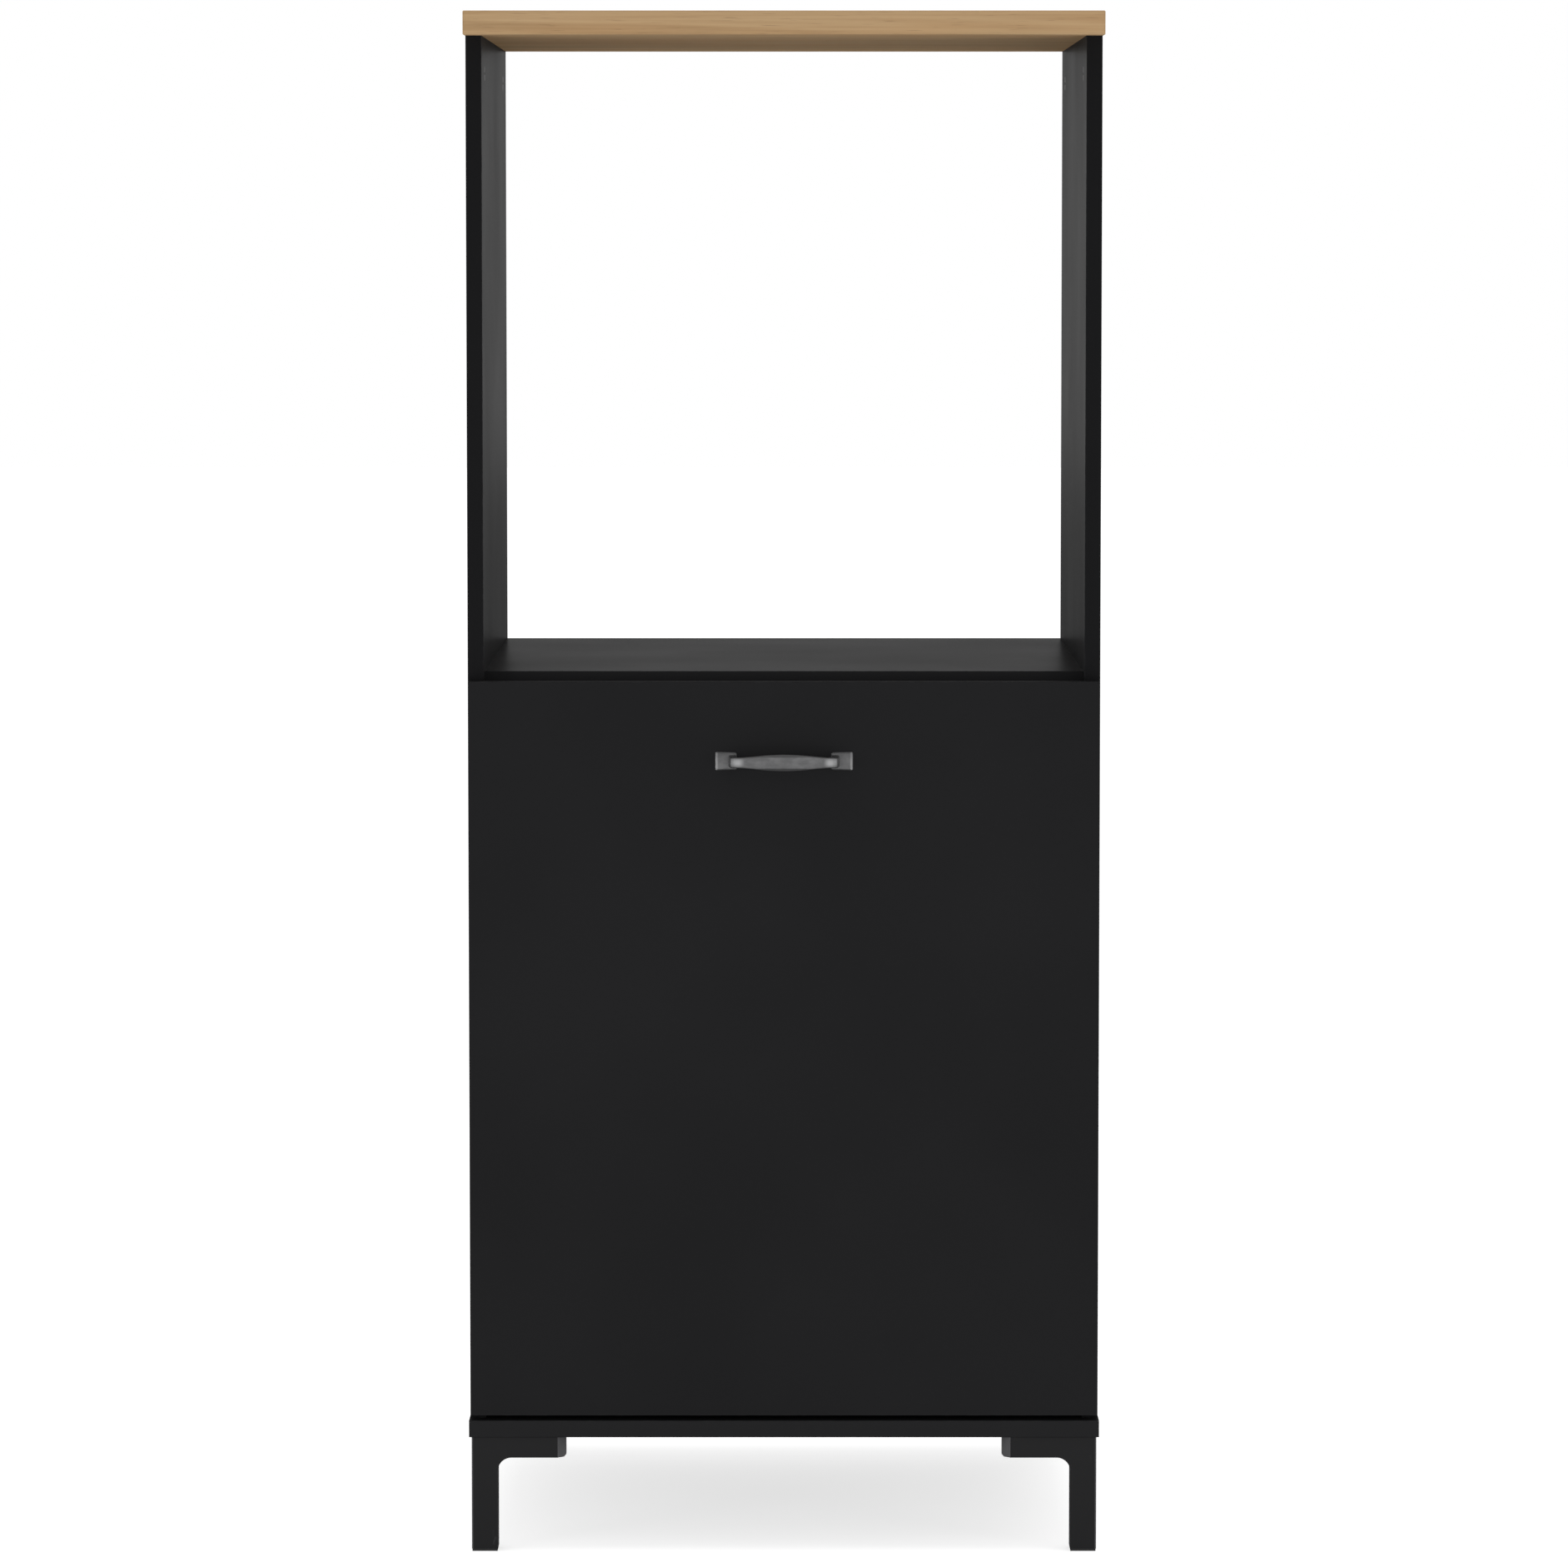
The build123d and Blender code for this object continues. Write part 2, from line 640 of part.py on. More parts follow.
def upright_board(centre, width, depth, bottom, height):
    """Upright board of a box, with the groove that runs round the box for its floor."""
    with BuildPart() as board:
        with BuildSketch(Plane.XY.offset(bottom)):
            with Locations(centre):
                Rectangle(width, depth)
        extrude(amount=height)
        with BuildSketch(Plane.XY.offset(bottom + box_floor_rise)):
            with Locations((0, box_middle_y)):
                Rectangle(
                    box_inner_width + 2 * box_groove, box_depth - 2 * (box_board - box_groove)
                )
        extrude(amount=box_floor + groove_play, mode=Mode.SUBTRACT)
    return board.part


# Drawer boxes: the inner front and the back stand between the sides, a little way into them
for box_name, (box_bottom, box_height) in box_sizes.items():
    end_places = {
        "inner_front": (0, box_front_y + box_board / 2),
        "back": (0, box_rear_y - box_board / 2),
    }
    with BuildPart() as box_side:
        side_centre = ((box_board - box_width) / 2, box_middle_y)
        add(upright_board(side_centre, box_board, box_depth, box_bottom, box_height))
        with BuildSketch(Plane.XY.offset(box_bottom)):
            with Locations(*end_places.values()):
                Rectangle(box_inner_width + 2 * box_housing, box_board)
        extrude(amount=box_height, mode=Mode.SUBTRACT)
        drill(runner_screw_hole, drawer_screw_places)
    save_both_sides(box_side, f"{box_name}_box_side")

    for end_name, end_centre in end_places.items():
        with BuildPart() as box_end:
            end_width = box_inner_width + 2 * box_housing
            add(upright_board(end_centre, end_width, box_board, box_bottom, box_height))
            drill(front_screw_hole, front_screw_places)
            mirror(about=Plane.YZ, mode=Mode.INTERSECT)
        save(box_end, f"{box_name}_box_{end_name}")

    with BuildPart() as box_floor_board:
        with BuildSketch(Plane.XY.offset(box_bottom + box_floor_rise)):
            with Locations((0, box_middle_y)):
                Rectangle(
                    box_inner_width + 2 * (box_groove - groove_play),
                    box_depth - 2 * (box_board - box_groove + groove_play),
                )
        extrude(amount=box_floor)
    save(box_floor_board, f"{box_name}_box_bottom")


# Middle line of each runner member's upper half, from its web to its lip:
# each arc has a centre, a radius, a start angle and a turn, and straight runs join the arcs
cabinet_arcs = [
    ((cabinet_web + runner_bend, flange_level - runner_bend), runner_bend, 180, -90),
    ((outer_ball_u, outer_ball_v), groove, 90, -runner_lip),
]
middle_bend_level = outer_ball_v - groove_step - bend_step
middle_arcs = [
    ((middle_web + runner_bend, middle_bend_level), runner_bend, 180, -135),
    ((outer_ball_u, outer_ball_v), groove, 225, 90),
    ((inner_ball_u, inner_ball_v), groove, 135, -runner_inner_lip),
]
drawer_bend_level = inner_ball_v - groove_step - bend_step
drawer_arcs = [
    ((drawer_web - runner_bend, drawer_bend_level), runner_bend, 0, 135),
    ((inner_ball_u, inner_ball_v), groove, 315, -90),
]


def sheet_side(arcs, side):
    """Corners of one face of a bent sheet: side is 1 for its left face, -1 for its right.

    Where one arc runs straight on into the next, the corner that they share comes once.
    """
    corners = []
    for (u, v), radius, start, turn in arcs:
        face_radius = radius - side * copysign(runner_sheet / 2, turn)
        steps = ceil(abs(turn) / runner_facet)
        for step in range(steps + 1):
            angle = radians(start + turn * step / steps)
            corner = Vector(u + face_radius * cos(angle), v + face_radius * sin(angle))
            if not corners or (corner - corners[-1]).length > shortest_edge:
                corners.append(corner)
    return corners


def runner_member(upper_arcs, length):
    """Rolled sheet member at level 0, from its front end to the back."""
    lower_arcs = [
        ((u, -v), radius, -start - turn, turn)
        for (u, v), radius, start, turn in reversed(upper_arcs)
    ]
    arcs = lower_arcs + upper_arcs
    with BuildPart() as member:
        with BuildSketch(runner_section):
            with BuildLine():
                Polyline(*sheet_side(arcs, 1), *reversed(sheet_side(arcs, -1)), close=True)
            make_face()
        extrude(amount=-length)
    return member.part


def save_runners(member, screw_places, name):
    """Put a member beside each box, drill it, and mirror it for the right side."""
    for box, level in runner_levels.items():
        with BuildPart() as left_member:
            with Locations((0, 0, level)):
                add(member)
            if screw_places:
                drill(runner_screw_hole, screw_places)
        save_both_sides(left_member, f"{name}_{box}")


# The cabinet member ends in a stop for the two that slide
with BuildPart() as cabinet_member:
    add(runner_member(cabinet_arcs, runner_length))
    with BuildSketch(runner_section.offset(-runner_length)):
        with Locations((runner_width / 2 - cage_gap, 0)):
            Rectangle(runner_width - 2 * cage_gap, runner_stop_height)
    extrude(amount=runner_sheet)
save_runners(cabinet_member.part, cabinet_screw_places, "cabinet_runner")
save_runners(runner_member(middle_arcs, member_length), [], "middle_runner")
save_runners(runner_member(drawer_arcs, member_length), drawer_screw_places, "drawer_runner")

# Ball drawn with 26 flats, its corners on the true sphere
half_flat = tan(radians(ball_turn / 2))  # half a flat's width, at distance 1 from the middle
ball_flat = ball_radius / sqrt(1 + 2 * half_flat**2)
with BuildPart() as ball:
    Box(2 * ball_flat, 2 * ball_flat, 2 * ball_flat)
    chamfer(ball.edges(), ball_flat * (1 - half_flat))


def save_cages(web, ball_u, ball_v, tab_v, name):
    """Channel of thin sheet that holds a row of balls in either edge, at all four runners."""
    tab_length = ball_u + cage_tab - web + cage_sheet / 2
    first_ball = -(balls_in_row - 1) / 2 * ball_pitch
    with BuildPart() as cage:
        with BuildSketch(runner_section.offset(-cage_setback)):
            with Locations((web, 0)):
                Rectangle(cage_sheet, 2 * tab_v + cage_sheet)
            with Locations((web - cage_sheet / 2 + tab_length / 2, -tab_v)):
                Rectangle(tab_length, cage_sheet)
            with Locations((web - cage_sheet / 2 + tab_length / 2, tab_v)):
                Rectangle(tab_length, cage_sheet)
        extrude(amount=-cage_length)
        with Locations(runner_section.offset(-cage_setback - cage_length / 2)):
            with Locations(
                *[
                    (ball_u, level, first_ball + n * ball_pitch)
                    for level in (-ball_v, ball_v)
                    for n in range(balls_in_row)
                ]
            ):
                add(ball.part)
    with BuildPart() as cages:
        with Locations(*[(0, 0, level) for level in runner_levels.values()]):
            add(cage.part)
        mirror(about=Plane.YZ)
    save(cages, name)


save_cages(outer_cage_web, outer_ball_u, outer_ball_v, outer_ball_v, "outer_ball_cages")
inner_tab_v = inner_ball_v - inner_cage_drop
save_cages(inner_cage_web, inner_ball_u, inner_ball_v, inner_tab_v, "inner_ball_cages")
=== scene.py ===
import logging
import math
from dataclasses import dataclass, field, replace
from enum import Enum
from typing import Any, Callable, Iterable, Sequence

import bmesh
import bpy
import numpy as np
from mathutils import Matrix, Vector


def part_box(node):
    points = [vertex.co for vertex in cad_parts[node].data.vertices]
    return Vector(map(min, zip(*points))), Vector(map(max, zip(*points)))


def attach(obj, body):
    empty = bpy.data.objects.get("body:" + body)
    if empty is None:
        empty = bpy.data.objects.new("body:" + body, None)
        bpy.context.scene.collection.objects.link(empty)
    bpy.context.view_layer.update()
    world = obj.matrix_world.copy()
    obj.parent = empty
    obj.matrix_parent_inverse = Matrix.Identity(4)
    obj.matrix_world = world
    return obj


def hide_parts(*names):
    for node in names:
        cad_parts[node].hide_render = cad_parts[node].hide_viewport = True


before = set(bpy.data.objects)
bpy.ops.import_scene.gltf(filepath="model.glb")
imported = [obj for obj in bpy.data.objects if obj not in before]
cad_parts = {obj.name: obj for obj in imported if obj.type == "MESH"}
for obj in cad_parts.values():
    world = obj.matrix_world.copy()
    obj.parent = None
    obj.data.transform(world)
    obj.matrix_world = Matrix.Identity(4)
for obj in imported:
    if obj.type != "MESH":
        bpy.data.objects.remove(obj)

LOG = logging.getLogger("oven_cabinet")
MM = 0.001
SAME_POINT = 1e-7
FLAT_DEGREES = 1.0
Colour = tuple[float, float, float, float]
Span = tuple[float, float]
Triple = tuple[float, float, float]
Shell = tuple[np.ndarray, np.ndarray]
WHITE: Colour = (1.0, 1.0, 1.0, 1.0)
BLACK: Colour = (0.0, 0.0, 0.0, 1.0)


def colour(red: int, green: int, blue: int) -> Colour:
    """Scene-linear colour of a screen colour.

    Args:
        red: Screen level from 0 to 255, as are green and blue.
        green: Green level.
        blue: Blue level.

    Returns:
        Red, green, blue and alpha as shader values.
    """
    levels = np.array((red, green, blue)) / 255.0
    linear = np.where(levels <= 0.04045, levels / 12.92, ((levels + 0.055) / 1.055) ** 2.4)
    return (*(float(level) for level in linear), 1.0)


def lighter(shade: Colour, times: float) -> Colour:
    """A colour some times as light, or darker with a number below 1."""
    return (*(min(1.0, level * times) for level in shade[:3]), 1.0)


def math_method(operation: str, turned: bool = False) -> Callable[..., "Value"]:
    """Makes a method of Value that adds a Math node.

    Args:
        operation: The node's operation.
        turned: Whether the other number comes first.

    Returns:
        The method, which takes the other number where the operation has one.
    """

    def add_node(number: "Value", *other: "Value | float") -> "Value":
        """Result of the operation."""
        terms = (*other, number) if turned else (number, *other)
        return number.tree.calculate(operation, *terms)

    return add_node


class Value:
    """A number that changes over a surface. Python's operators on it add Math nodes."""

    def __init__(self, tree: "Tree", socket: bpy.types.NodeSocket) -> None:
        """Wraps a node's output socket."""
        self.tree = tree
        self.socket = socket

    __add__ = __radd__ = math_method("ADD")
    __mul__ = __rmul__ = math_method("MULTIPLY")
    __sub__, __rsub__ = math_method("SUBTRACT"), math_method("SUBTRACT", turned=True)
    __abs__ = math_method("ABSOLUTE")
    smaller, larger = math_method("MINIMUM"), math_method("MAXIMUM")

    def step(self, start: float, end: float) -> "Value":
        """Smooth step that is 0 at start and 1 at end, whichever of the two is larger."""
        node = self.tree.node(
            "ShaderNodeMapRange",
            {"interpolation_type": "SMOOTHSTEP"},
            {"Value": self, "From Min": start, "From Max": end, "To Min": 0.0, "To Max": 1.0},
        )
        return Value(self.tree, node.outputs["Result"])


class Tree:
    """Node tree of a material or of the world."""

    def __init__(self, owner: bpy.types.Material | bpy.types.World) -> None:
        """Takes the owner's tree and empties it.

        Args:
            owner: The material or world.
        """
        owner.use_nodes = True
        self.nodes, self.links = owner.node_tree.nodes, owner.node_tree.links
        self.nodes.clear()

    def node(
        self,
        kind: str,
        settings: dict[str, Any] | None = None,
        sockets: dict[str | int, Any] | None = None,
    ) -> bpy.types.Node:
        """Adds a node.

        Args:
            kind: The node's type.
            settings: Its properties, set first; "stops" are a ramp's positions and colours.
            sockets: Values or links of its inputs, by name or number.

        Returns:
            The new node.
        """
        node = self.nodes.new(kind)
        for key, setting in (settings or {}).items():
            if key == "stops":
                self.set_stops(node.color_ramp, setting)
            else:
                setattr(node, key, setting)
        for key, content in (sockets or {}).items():
            self.feed(node.inputs[key], content)
        return node

    def feed(self, socket: bpy.types.NodeSocket, content: Any) -> None:
        """Gives an input a link or a value.

        Args:
            socket: The input.
            content: A number that changes, another node's output, or a plain value.
        """
        source = content.socket if isinstance(content, Value) else content
        if isinstance(source, bpy.types.NodeSocket):
            self.links.new(source, socket)
        else:
            socket.default_value = source

    @staticmethod
    def set_stops(ramp: bpy.types.ColorRamp, stops: Sequence[tuple[float, Colour]]) -> None:
        """Gives a colour ramp its stops.

        Args:
            ramp: The ramp, with its two first stops.
            stops: Position and colour of each stop, in order.
        """
        while len(ramp.elements) < len(stops):
            ramp.elements.new(1.0)
        for element, (position, stop_colour) in zip(ramp.elements, stops):
            element.position = position
            element.color = stop_colour

    def calculate(self, operation: str, *terms: "Value | float") -> Value:
        """Result of a Math node.

        Args:
            operation: The node's operation.
            terms: Its numbers, in order.

        Returns:
            The result.
        """
        node = self.node("ShaderNodeMath", {"operation": operation}, dict(enumerate(terms)))
        return Value(self, node.outputs[0])

    def rays(self, *kinds: str) -> Value:
        """Tells rays of some kinds from the others.

        Args:
            kinds: Names of the kinds, as Light Path has them.

        Returns:
            1 for rays of these kinds and 0 for others.
        """
        outputs = self.node("ShaderNodeLightPath").outputs
        chosen = Value(self, outputs[f"Is {kinds[0]} Ray"])
        for kind in kinds[1:]:
            chosen = chosen.larger(Value(self, outputs[f"Is {kind} Ray"]))
        return chosen


class Graph(Tree):
    """Node tree of one material, with a Principled shader on its output."""

    def __init__(self, name: str) -> None:
        """Makes the material and its shader.

        Args:
            name: The material's name.
        """
        self.material = bpy.data.materials.new(name)
        super().__init__(self.material)
        self.shader = self.node("ShaderNodeBsdfPrincipled")
        self.node("ShaderNodeOutputMaterial", sockets={"Surface": self.shader.outputs["BSDF"]})
        self.place = self.node("ShaderNodeTexCoord").outputs["Object"]

    def axes(self, vector: bpy.types.NodeSocket) -> tuple[Value, Value, Value]:
        """The three numbers of a vector."""
        node = self.node("ShaderNodeSeparateXYZ", sockets={"Vector": vector})
        return tuple(Value(self, output) for output in node.outputs)

    def facing(self) -> tuple[Value, Value, Value]:
        """The surface normal's three numbers, without their signs."""
        normal = self.node("ShaderNodeTexCoord").outputs["Normal"]
        return tuple(abs(part) for part in self.axes(normal))

    def scaled(
        self, scale: Triple, vector: bpy.types.NodeSocket | None = None
    ) -> bpy.types.NodeSocket:
        """A vector times a scale for each axis, by default the object coordinates."""
        node = self.node(
            "ShaderNodeVectorMath", {"operation": "MULTIPLY"}, {0: vector or self.place, 1: scale}
        )
        return node.outputs["Vector"]

    def noise(
        self,
        scale: float | Triple,
        vector: bpy.types.NodeSocket | None = None,
        detail: float = 4.0,
        roughness: float = 0.5,
        distortion: float = 0.0,
    ) -> Value:
        """Fractal noise.

        Args:
            scale: How many swells it has in a metre, along all axes or along each.
            vector: Where it is read, by default at the object coordinates.
            detail: How many finer layers it has.
            roughness: How strong those are.
            distortion: How far it is pulled about.

        Returns:
            The noise, from 0 to 1.
        """
        if isinstance(scale, tuple):
            scale, vector = 1.0, self.scaled(scale, vector)
        sockets = {"Vector": vector or self.place, "Scale": scale, "Detail": detail}
        sockets |= {"Roughness": roughness, "Distortion": distortion}
        return Value(self, self.node("ShaderNodeTexNoise", sockets=sockets).outputs["Fac"])

    def cells(self, vector: bpy.types.NodeSocket, scale: float) -> Value:
        """A random grey for each of many small cells."""
        node = self.node("ShaderNodeTexVoronoi", sockets={"Vector": vector, "Scale": scale})
        return self.axes(node.outputs["Color"])[0]

    def ramp(
        self, amount: Value, stops: Sequence[tuple[float, Colour]]
    ) -> bpy.types.NodeSocket:
        """Colour for each amount."""
        node = self.node("ShaderNodeValToRGB", {"stops": stops}, {"Fac": amount})
        return node.outputs["Color"]

    def blend(
        self,
        amount: Value,
        first: Colour | bpy.types.NodeSocket,
        second: Colour | bpy.types.NodeSocket,
    ) -> bpy.types.NodeSocket:
        """Colour between two others, the first at amount 0 and the second at 1."""
        node = self.node(
            "ShaderNodeMix", {"data_type": "RGBA"}, {0: amount, 6: first, 7: second}
        )
        return node.outputs[2]

    def set_shader(self, **inputs: Any) -> None:
        """Sets inputs of the shader.

        Args:
            inputs: Value or link of each input, by its name with underscores for spaces.
        """
        for name, content in inputs.items():
            self.feed(self.shader.inputs[name.replace("_", " ")], content)

    def finish(
        self, height: Value, depth: float, strength: float, **inputs: Any
    ) -> bpy.types.Material:
        """Bumps the shader's normal, sets its other inputs and ends the material.

        Args:
            height: Relief from 0 to 1.
            depth: Metres between them.
            strength: How strongly the relief shades.
            inputs: As for set_shader.

        Returns:
            The material.
        """
        node = self.node(
            "ShaderNodeBump", sockets={"Strength": strength, "Distance": depth, "Height": height}
        )
        self.set_shader(Normal=node.outputs["Normal"], **inputs)
        return self.material


def edge_distance(graph: Graph, low: Vector, high: Vector) -> Value:
    """How far a point on a box-shaped board is from the board's nearest edge.

    On a face of the box one of the three depths below its faces is nothing, and the next
    larger one is the distance to the edge, so the formula is the median of the three.

    Args:
        graph: The material's nodes.
        low: The board's lowest corner.
        high: Its highest corner.

    Returns:
        The distance in metres.
    """
    centre, half = (low + high) / 2, (high - low) / 2
    x, y, z = (
        half[axis] - abs(part - centre[axis]) for axis, part in enumerate(graph.axes(graph.place))
    )
    return x.smaller(y).larger(x.larger(y).smaller(z))


def link(name: str, data: bpy.types.ID) -> bpy.types.Object:
    """Makes an object of a mesh, lamp or camera and links it to the scene."""
    item = bpy.data.objects.new(name, data)
    bpy.context.scene.collection.objects.link(item)
    return item


def dress(piece: bpy.types.Object, *materials: bpy.types.Material) -> None:
    """Gives a piece its materials, in place of those that it has.

    Args:
        piece: The piece.
        materials: The materials, one for each slot.
    """
    piece.data.materials.clear()
    for material in materials:
        piece.data.materials.append(material)


@dataclass(frozen=True)
class OakLaminate:
    """Oak-look laminate: long growth figure, fine lines and short dark pores."""

    pale: Colour = colour(203, 173, 134)
    middle: Colour = colour(189, 157, 118)
    dark: Colour = colour(168, 136, 99)
    warm: Colour = colour(196, 154, 110)
    pore: Colour = colour(128, 100, 70)
    figure_scale: Triple = (1.1, 26.0, 36.0)
    line_scale: Triple = (6.0, 420.0, 420.0)
    pore_scale: Triple = (34.0, 1100.0, 1100.0)
    patch_scale: Triple = (2.5, 9.0, 30.0)
    rings: float = 6.0
    band: float = 1.0 * MM
    joint_span: Span = (0.14 * MM, 0.05 * MM)
    relief: float = 0.05 * MM

    def material(self, node: str) -> bpy.types.Material:
        """The worktop's material, with the grain along the width and round its end bands.

        Args:
            node: The worktop's CAD node, whose box gives the places of its bands' joints.

        Returns:
            The material.
        """
        graph = Graph("oak_laminate")
        x, y, z = graph.axes(graph.place)
        turned = graph.node("ShaderNodeCombineXYZ", sockets={"X": y, "Y": x, "Z": z})
        at_end = graph.facing()[0].step(0.6, 0.8)
        place = graph.node(
            "ShaderNodeMix",
            {"data_type": "VECTOR"},
            {0: at_end, 4: graph.place, 5: turned.outputs["Vector"]},
        ).outputs[1]
        figure = graph.noise(self.figure_scale, place, detail=3, distortion=0.6)
        rings = abs(graph.calculate("FRACT", figure * self.rings) - 0.5) * 2.0
        lines = graph.noise(self.line_scale, place, detail=5, roughness=0.62)
        pores = graph.noise(self.pore_scale, place, detail=2).step(0.6, 0.72)
        patches = graph.noise(self.patch_scale, place, detail=2).step(0.4, 0.7)
        tone = rings.step(0.0, 1.0) * 0.22 + figure * 0.3 + lines * 0.5
        wood = graph.ramp(tone, [(0.25, self.dark), (0.5, self.middle), (0.8, self.pale)])
        wood = graph.blend(patches * 0.4, wood, self.warm)
        edge = edge_distance(graph, *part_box(node))
        joint = abs(edge - self.band).step(*self.joint_span)
        return graph.finish(
            lines * 0.4 - pores - joint,
            depth=self.relief,
            strength=0.6,
            Base_Color=graph.blend((pores * 0.4).larger(joint * 0.55), wood, self.pore),
            Roughness=0.68 + pores * 0.16 - lines * 0.08,
            Specular_IOR_Level=0.004,
        )


@dataclass(frozen=True)
class BoardFoil:
    """Plain coated board: fine pearl texture, banded edges and slightly worn corners."""

    name: str
    face: Colour
    # Tone of the edge faces: the edge band's own tone on the box boards; painted shade on the
    # black side panels and front, painted light on the black shelf and base board.
    band_tone_and_edge_light: Colour
    worn: Colour
    roughness: float
    specular: float
    band: float = 1.0 * MM
    joint_span: Span = (0.12 * MM, 0.04 * MM)
    wear_span: Span = (1.1 * MM, 0.2 * MM)
    relief: float = 0.03 * MM
    pearl_scale: float = 1500.0
    scuff_scale: float = 90.0
    cloud_scale: float = 3.5

    def material(self, node: str) -> bpy.types.Material:
        """The material for one board.

        Args:
            node: The board's CAD node, whose box gives the places of its edges.

        Returns:
            A material whose bands, joint lines and wear follow that board's edges.
        """
        graph = Graph(f"{self.name}_{node}")
        low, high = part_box(node)
        edge = edge_distance(graph, low, high)
        size = high - low
        banded = 1.0 - graph.facing()[size[:].index(min(size))].step(0.3, 0.5)
        clouds = graph.noise(self.cloud_scale, detail=3)
        pearl = graph.noise(self.pearl_scale, detail=2)
        scuffs = graph.noise(self.scuff_scale, detail=5, roughness=0.7)
        wear = edge.step(*self.wear_span) * scuffs.step(0.42, 0.72)
        joint = abs(edge - self.band).step(*self.joint_span)
        cloudy = graph.blend(clouds.step(0.3, 0.7), self.face, lighter(self.face, 1.12))
        # Edge faces take their own tone; on the black boards that tone is painted shade for some
        # boards and painted light for others.
        shade = graph.blend(banded, cloudy, self.band_tone_and_edge_light)
        return graph.finish(
            pearl * 0.35 + scuffs * 0.1 - joint,
            depth=self.relief,
            strength=0.7,
            Base_Color=graph.blend(wear * 0.7, shade, self.worn),
            Roughness=self.roughness + (clouds - 0.5) * 0.12 + (pearl - 0.5) * 0.1 - wear * 0.08,
            Specular_IOR_Level=self.specular,
        )


@dataclass(frozen=True)
class Hardboard:
    """Thin fibre board: lacquered black towards the boxes and bare brown behind."""

    lacquer: Colour = colour(34, 34, 35)
    pale_fibre: Colour = colour(150, 112, 78)
    dark_fibre: Colour = colour(104, 72, 47)
    fibre_scale: Triple = (260.0, 260.0, 900.0)
    fleck_scale: float = 700.0
    blotch_scale: float = 9.0
    relief: float = 0.08 * MM

    def material(self) -> bpy.types.Material:
        """Works out the back panel's material.

        Returns:
            A material that is black where it faces forwards and bare elsewhere.
        """
        graph = Graph("hardboard")
        normal = graph.node("ShaderNodeTexCoord").outputs["Normal"]
        bare = graph.axes(normal)[1].step(0.2, 0.6)
        fibres = graph.noise(self.fibre_scale, detail=6, roughness=0.7)
        flecks = graph.cells(graph.scaled((1.0, 1.0, 0.5)), self.fleck_scale).step(0.82, 0.95)
        blotches = graph.noise(self.blotch_scale, detail=3)
        brown = graph.ramp(
            fibres * 0.7 + blotches * 0.3, [(0.3, self.dark_fibre), (0.7, self.pale_fibre)]
        )
        speckled = graph.blend(flecks * 0.35, brown, self.dark_fibre)
        return graph.finish(
            fibres,
            depth=self.relief,
            strength=0.6,
            Base_Color=graph.blend(bare, self.lacquer, speckled),
            Roughness=0.55 + bare * 0.25 + (fibres - 0.5) * 0.2,
            Specular_IOR_Level=0.3,
        )


@dataclass(frozen=True)
class CoatedCasting:
    """Black powder coat on castings, with orange peel, scuffs near the floor and a painted
    highlight on bevelled upright corners.
    """

    coat: Colour = colour(32, 32, 33)
    # Pale tone: painted highlight on bevelled upright corners, and the colour of the scuff wear
    # near the floor.
    highlight_tone: Colour = colour(104, 104, 106)
    peel_scale: float = 420.0
    grit_scale: float = 2600.0
    scuff_scale: Triple = (60.0, 60.0, 25.0)
    scuffed_span: Span = (30.0 * MM, 4.0 * MM)
    relief: float = 0.05 * MM

    def material(self, node: str) -> bpy.types.Material:
        """The material for one casting.

        Args:
            node: Its CAD node, for the material's name.

        Returns:
            A material with a painted highlight on bevelled upright corners, and scuffed near the
            floor.
        """
        graph = Graph(f"black_enamel_{node}")
        height = graph.axes(graph.place)[2]
        across, along, _ = graph.facing()
        peel = graph.noise(self.peel_scale, detail=2)
        grit = graph.noise(self.grit_scale, detail=3)
        scuffs = graph.noise(self.scuff_scale, detail=6, roughness=0.75)
        # Painted highlight on upright 45-degree bevels, standing in for their reflection of light
        # from the sides.
        corner = (across * along * 2.0).step(0.75, 0.98) * (0.35 + scuffs * 0.6)
        low = height.step(*self.scuffed_span)
        # worn holds both the scuff wear near the floor and the painted bevel highlight.
        worn = (scuffs.step(0.6, 0.75) * (0.08 + low * 0.5)).larger(corner)
        return graph.finish(
            peel * 0.7 + grit * 0.2,
            depth=self.relief,
            strength=0.7,
            Base_Color=graph.blend(worn, self.coat, self.highlight_tone),
            Roughness=0.4 + (grit - 0.5) * 0.16 + worn * 0.15,
            Specular_IOR_Level=0.12,
        )


